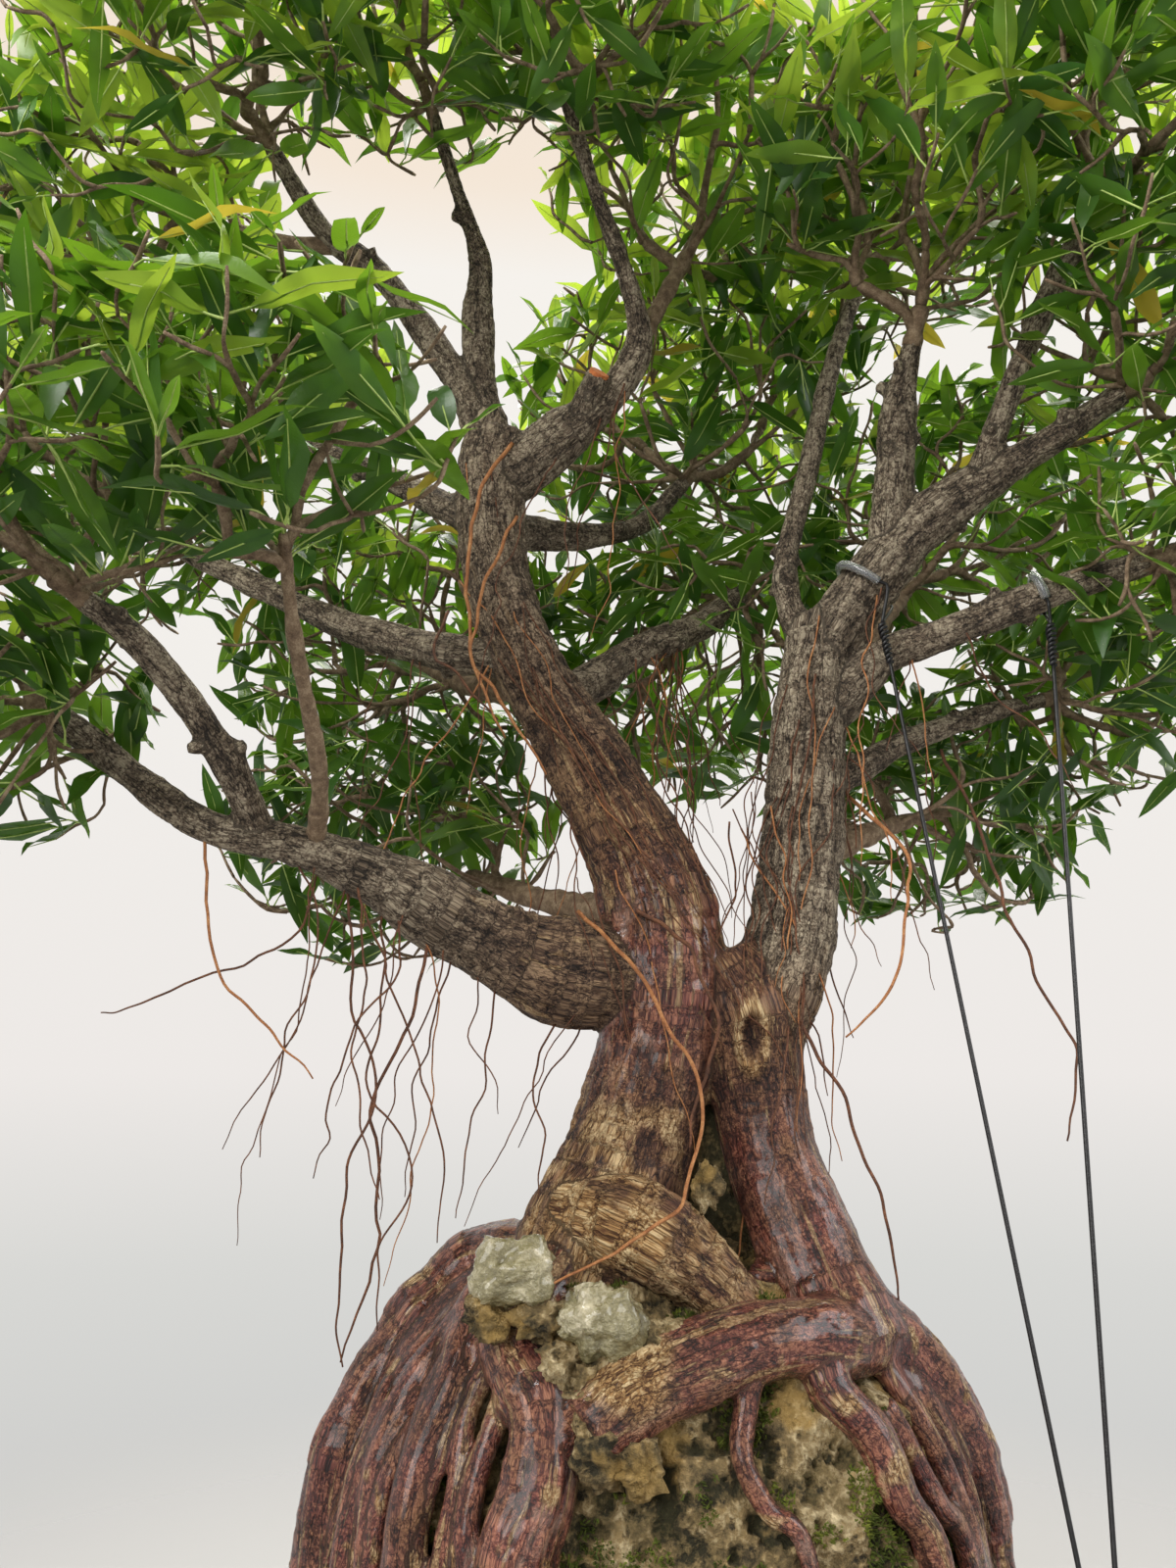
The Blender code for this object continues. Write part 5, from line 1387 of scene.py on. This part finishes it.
def twigRadii(stem, parents):  # a twig is as thick as the tips that it feeds
    fed = np.zeros(len(parents))
    tips = set(range(len(parents))) - set(parents)
    for i in range(len(parents) - 1, -1, -1):
        if i in tips:
            fed[i] = 1
        if parents[i] >= 0:
            fed[parents[i]] += fed[i]
    radii = growth["tip"] * mm * np.maximum(fed, 1) ** growth["fork"]
    radii[:len(stem)] = np.maximum(stem[:, 3], radii[:len(stem)] * 0.6)
    for i, parent in enumerate(parents):
        if parent >= 0:
            radii[i] = min(radii[i], radii[parent])
    return radii


def twigTube(spots, radii, path, rng, isStem):
    thick = radii[path].copy()
    if not isStem:
        thick[0] = min(thick[0], thick[1] * 1.15)
    route = smoothRoute(np.hstack([spots[path], thick[:, None]]), 4 if isStem else 3)
    run = np.concatenate([[0], np.cumsum(np.linalg.norm(np.diff(route[:, :3], axis=0), axis=1))])
    rings = latticeNoise(np.stack([run / (3.4 * mm) + rng.uniform(0, 90), run * 0, run * 0], axis=1), 91)
    route[:, 3] *= 1 + 0.16 * rings
    route[-1, 3] *= 0.7
    return tubeParts(route, 8 if isStem else 4)


def growLeaves(name, rng, spots, parents):  # sprays turn round each twig's end; older leaves spread and droop
    middle, reach = balls[name]
    centre = middle * (1, 1, flatten)
    ends = sorted(set(range(len(spots))) - set(parents))
    rows = []
    for spray, end in enumerate(ends):
        along = unit(spots[end] - spots[parents[end]])
        before = parents[parents[end]]
        length = (np.linalg.norm(spots[end] - spots[parents[end]])
                  + np.linalg.norm(spots[parents[end]] - spots[before]))
        cross = unit(np.cross(along, (0.1, 0.2, 1)))
        other = np.cross(along, cross)
        # painted light: each spray gets a light level, raised for sprays high in their mass and for masses
        # high in the crown, lowered for the masses at the back
        light = (rng.uniform(0, 1) + 0.22 * (spots[end][2] - centre[2]) / reach
                 + 0.16 * (centre[2] / mm - 570) / 160)
        light -= 0.20 * easeStep(0.02, 0.12, centre[1])
        turn = rng.uniform(0, 2 * math.pi)
        count = rng.integers(*growth["leaves"])
        for k in range(count):
            back = min((0.6 + growth["leafGap"] * k * rng.uniform(0.85, 1.15)) * mm, 0.95 * length)
            share = back / max(length, 1e-6)
            base = spots[end] - along * back if share < 0.5 else spots[parents[end]] + (
                spots[before] - spots[parents[end]]) * (share - 0.5)
            angle = turn + k * 2.4 + rng.uniform(-0.25, 0.25)
            spread = math.radians(np.interp(k, (0, 1, 4, 9), (12, 30, 62, 84)) + rng.uniform(-10, 10))
            heading = (along * math.cos(spread)
                       + (cross * math.cos(angle) + other * math.sin(angle)) * math.sin(spread))
            heading = unit(heading + np.array((0, 0, rng.uniform(-0.25, 0.12) - 0.02 * k)))
            size = rng.uniform(*growth["length"]) * mm * np.interp(k, (0, 1, 2), (0.5, 0.8, 1.0))
            droop = rng.uniform(*growth["droop"])
            rows.append((*base, *heading, size, droop, light, rng.uniform(-0.5, 0.5), rng.uniform(0.85, 1.2),
                         spray))
    rows = np.array(rows)
    tips = rows[:, :3] + rows[:, 3:6] * rows[:,
                                             6:7] * 1.08 - np.array((0, 0, 1)) * (rows[:, 6:7] * rows[:, 7:8])
    middles = rows[:, :3] + rows[:, 3:6] * rows[:, 6:7] * 0.55
    proud = growth["proud"] * mm
    inside = np.linalg.norm(roundedSpace(tips) - middle, axis=1) < reach + proud
    low, high = np.array(cadBox)
    inside &= ((tips > low - proud) & (tips < high + proud)).all(axis=1)
    clear = np.minimum(nearestGap(tips), nearestGap(middles)) > 1.5 * mm
    return rows[inside & clear]


def leafBlades(rows, tilt):  # the blades as folded, curling strips, and their stalks and midribs
    stations = growth["stations"]
    t = np.linspace(0, 1, stations + 2)
    half = t ** 0.8 * (1 - t) ** 1.05
    half = half / half.max() * 0.5
    heading, length = rows[:, 3:6], rows[:, 6]
    up = np.array((0, 0, 1.0)) + tilt
    side = unit(np.cross(up, heading))
    flat = np.cross(heading, side)
    roll = rows[:, 9:10]
    side, flat = side * np.cos(roll) + flat * np.sin(roll), flat * np.cos(roll) - side * np.sin(roll)
    base = rows[:, :3] + heading * growth["petiole"] * mm
    blade = length - growth["petiole"] * mm
    bend = -rows[:, 7:8] * t ** 2 + 0.03 * np.sin(t * 9 + rows[:, 8:9] * 40)
    spine = base[:, None] + heading[:, None] * (blade[:, None] * t * (1 - 0.25 * rows[:, 7:8] * t))[...,
                                                                                                    None] \
        + flat[:, None] * (blade[:, None] * bend)[..., None]
    wide = blade[:, None] * growth["width"] * rows[:, 10:11] * half
    lift = growth["fold"] * wide
    wave = 0.10 * wide * np.sin(t * 14 + rows[:, 8:9] * 60)
    left = spine + side[:, None] * wide[..., None] + flat[:, None] * (lift + wave)[..., None]
    right = spine - side[:, None] * wide[..., None] + flat[:, None] * (lift - wave)[..., None]
    body = np.stack([left, spine, right], axis=2)[:, 1:-1].reshape(len(rows), -1, 3)
    points = np.concatenate([spine[:, :1], body, spine[:, -1:]], axis=1)
    per = points.shape[1]
    row = 1 + 3 * np.arange(stations - 1)
    quads = np.concatenate([np.stack([row, row + 1, row + 4, row + 3], axis=-1),
                            np.stack([row + 1, row + 2, row + 5, row + 4], axis=-1)])
    last = 1 + 3 * (stations - 1)
    threes = np.array([(0, 2, 1), (0, 3, 2), (last, last + 1, per - 1), (last + 1, last + 2, per - 1)])
    shift = (np.arange(len(rows)) * per)[:, None, None]
    blades = points.reshape(-1, 3), (quads + shift).reshape(-1, 4), (threes + shift).reshape(-1, 3)
    knots = np.concatenate([rows[:, None, :3], spine[:, [0, 3, stations]]], axis=1)
    thick = np.array((0.55, 0.42, 0.32, 0.15)) * mm
    turn = np.arange(3) * 2 * math.pi / 3
    ring = side[:, None, None] * np.cos(turn)[:, None] + flat[:, None, None] * np.sin(turn)[:, None]
    hoops = (knots[:, :, None] + ring * thick[:, None, None]).reshape(len(rows), -1, 3)
    here = np.arange(3)
    after = (here + 1) % 3
    start = (np.arange(len(thick) - 1) * 3)[:, None]
    walls = np.stack([start + here, start + after, start + 3 + after, start + 3 + here], axis=-1).reshape(-1,
                                                                                                          4)
    shift = (np.arange(len(rows)) * 3 * len(thick))[:, None, None]
    ribs = hoops.reshape(-1, 3), (walls + shift).reshape(-1, 4), np.empty((0, 3), int)
    return blades, ribs


def makeFoliage():
    twigs, rows = {"twigsLeft": [], "twigsRight": []}, []
    for order, (name, spec) in enumerate(masses.items()):
        rng = np.random.default_rng(growth["seed"] + order)
        size = (spec[1] / growth["meanReach"]) ** 2.0
        stem, spots, parents, paths = growTwigs(name, rng, round(growth["sprays"] * size))
        radii = twigRadii(stem, parents)
        for i, path in enumerate(paths):
            twigs["twigsLeft" if spec[0][0] < 0 else "twigsRight"].append(twigTube(spots, radii, path, rng,
                                                                                   i == 0))
        rows.append(growLeaves(name, rng, spots, parents))
    rows = np.vstack(rows)
    rng = np.random.default_rng(growth["seed"] - 1)
    tilt = rng.normal(size=(len(rows), 3)) * 0.28
    yellow = rng.random(len(rows)) < 0.014
    # the painted light level picks the shaded, half-lit or lit green for each leaf
    light = rows[:, 8]
    kind = np.where(yellow, 3, np.where(light > 0.76, 2, np.where(light > 0.33, 1, 0)))
    allNodes = [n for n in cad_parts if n.startswith("leaves_")]
    ribParts = []
    for number, label in enumerate(leafLooks):
        own = kind == number
        blades, ribs = leafBlades(rows[own], tilt[own])
        ribParts.append(ribs)
        piece = pieceFrom(label, [blades], leafLooks[label])
        settle(piece, "foliage", *allNodes)
        print(label, int(own.sum()), "leaves")
    settle(pieceFrom("leafRibs", ribParts, ribLook), "foliage")
    for label, tubes in twigs.items():
        piece = pieceFrom(label, tubes, twigBark)
        settle(piece, "foliage")
        print(label, len(tubes), "with", len(piece.data.polygons), "faces")


makeFoliage()
print("foliage grown")

# floor, light and camera
stageLook = {"floor": rgb(150, 150, 149), "size": 4.0, "solid": 0.3, "gone": 0.8}
skyLook = {"light": 0.8}
lightPlan = {  # place, aim, width, power and colour
    "overhead": ((0.35, 0.75, 1.8), (0, 0, 0.55), 1.6, 58, (1.0, 0.98, 0.94)),
    "front": ((-1.1, -1.5, 1.15), (0, 0, 0.4), 1.4, 22, (1.0, 0.98, 0.96)),
    "side": ((1.3, -0.5, 0.95), (0, 0, 0.35), 1.0, 10, (0.97, 0.98, 1.0)),
    "gleam": ((-0.6, -0.5, 1.3), (-0.05, 0, 0.15), 0.35, 9, (1.0, 1.0, 1.0)),
}
cameraPlan = {"place": (-0.032, -0.49, 0.292), "tilt": 104.0, "focal": 36 * 1186 / 1600, "sensor": 36.0}


def makeStage():
    bpy.ops.mesh.primitive_plane_add(size=stageLook["size"], location=(0, 0, -0.0005))
    floor = bpy.context.object
    floor.name = "paleFloor"
    material, tree, shader = newMaterial("paleFloor", {"Roughness": 0.9, "Base Color": stageLook["floor"]})
    place = addNode(tree, "ShaderNodeTexCoord").outputs["Object"]
    away = addNode(tree, "ShaderNodeVectorMath", {0: place}, operation="LENGTH").outputs["Value"]
    fade = addNode(tree, "ShaderNodeMapRange", {"Value": away, "From Min": stageLook["solid"],
                                                "From Max": stageLook["gone"]},
                   interpolation_type="SMOOTHSTEP")
    clear = addNode(tree, "ShaderNodeBsdfTransparent")
    both = addNode(tree, "ShaderNodeMixShader", {0: fade.outputs["Result"], 1: shader.outputs["BSDF"],
                                                 2: clear.outputs["BSDF"]})
    tree.links.new(both.outputs["Shader"], tree.nodes["Material Output"].inputs["Surface"])
    floor.data.materials.append(material)
    for name, (place, aim, width, power, colour) in lightPlan.items():
        lamp = bpy.data.lights.new(name, "AREA")
        lamp.shape = "DISK"
        lamp.size = width
        lamp.energy = power
        lamp.color = colour
        holder = bpy.data.objects.new(name, lamp)
        holder.location = place
        way = np.array(aim) - np.array(place)
        flatWay = math.hypot(way[0], way[1])
        holder.rotation_euler = (math.atan2(flatWay, -way[2]), 0, math.atan2(-way[0], way[1]))
        bpy.context.scene.collection.objects.link(holder)


def makeSky():  # pale all round: grey near the floor, white above it, faintly pink overhead
    world = bpy.data.worlds.new("paleRoom")
    bpy.context.scene.world = world
    world.use_nodes = True
    tree = world.node_tree
    place = addNode(tree, "ShaderNodeTexCoord").outputs["Generated"]
    height = addNode(tree, "ShaderNodeSeparateXYZ", {"Vector": place}).outputs["Z"]
    ramp = addNode(tree, "ShaderNodeValToRGB", {"Fac": reckon(tree, "MULTIPLY_ADD", height, 0.5, 0.5)})
    stops = [(0.0, rgb(190, 191, 190)), (0.31, rgb(199, 199, 198)), (0.43, rgb(216, 216, 213)),
             (0.5, rgb(237, 233, 230)), (0.72, rgb(244, 241, 236)), (0.805, rgb(246, 242, 236)),
             (0.83, rgb(245, 231, 215)), (1.0, rgb(238, 222, 206))]
    while len(ramp.color_ramp.elements) < len(stops):
        ramp.color_ramp.elements.new(0.5)
    for element, (at, colour) in zip(ramp.color_ramp.elements, stops):
        element.position = at
        element.color = colour
    back = tree.nodes["Background"]
    tree.links.new(ramp.outputs["Color"], back.inputs["Color"])
    seen = addNode(tree, "ShaderNodeLightPath").outputs["Is Camera Ray"]  # the room lights less than it shows
    strength = addNode(tree, "ShaderNodeMapRange", {"Value": seen, "To Min": skyLook["light"], "To Max": 1.0})
    tree.links.new(strength.outputs["Result"], back.inputs["Strength"])
    bpy.context.scene.view_settings.view_transform = "Standard"


def makeCamera():
    lens = bpy.data.cameras.new("camera")
    lens.sensor_width = cameraPlan["sensor"]
    lens.lens = cameraPlan["focal"]
    lens.clip_start = 0.01
    camera = bpy.data.objects.new("camera", lens)
    camera.location = cameraPlan["place"]
    camera.rotation_euler = (math.radians(cameraPlan["tilt"]), 0, 0)
    bpy.context.scene.collection.objects.link(camera)
    bpy.context.scene.camera = camera


makeStage()
makeSky()
makeCamera()
print("stage set")
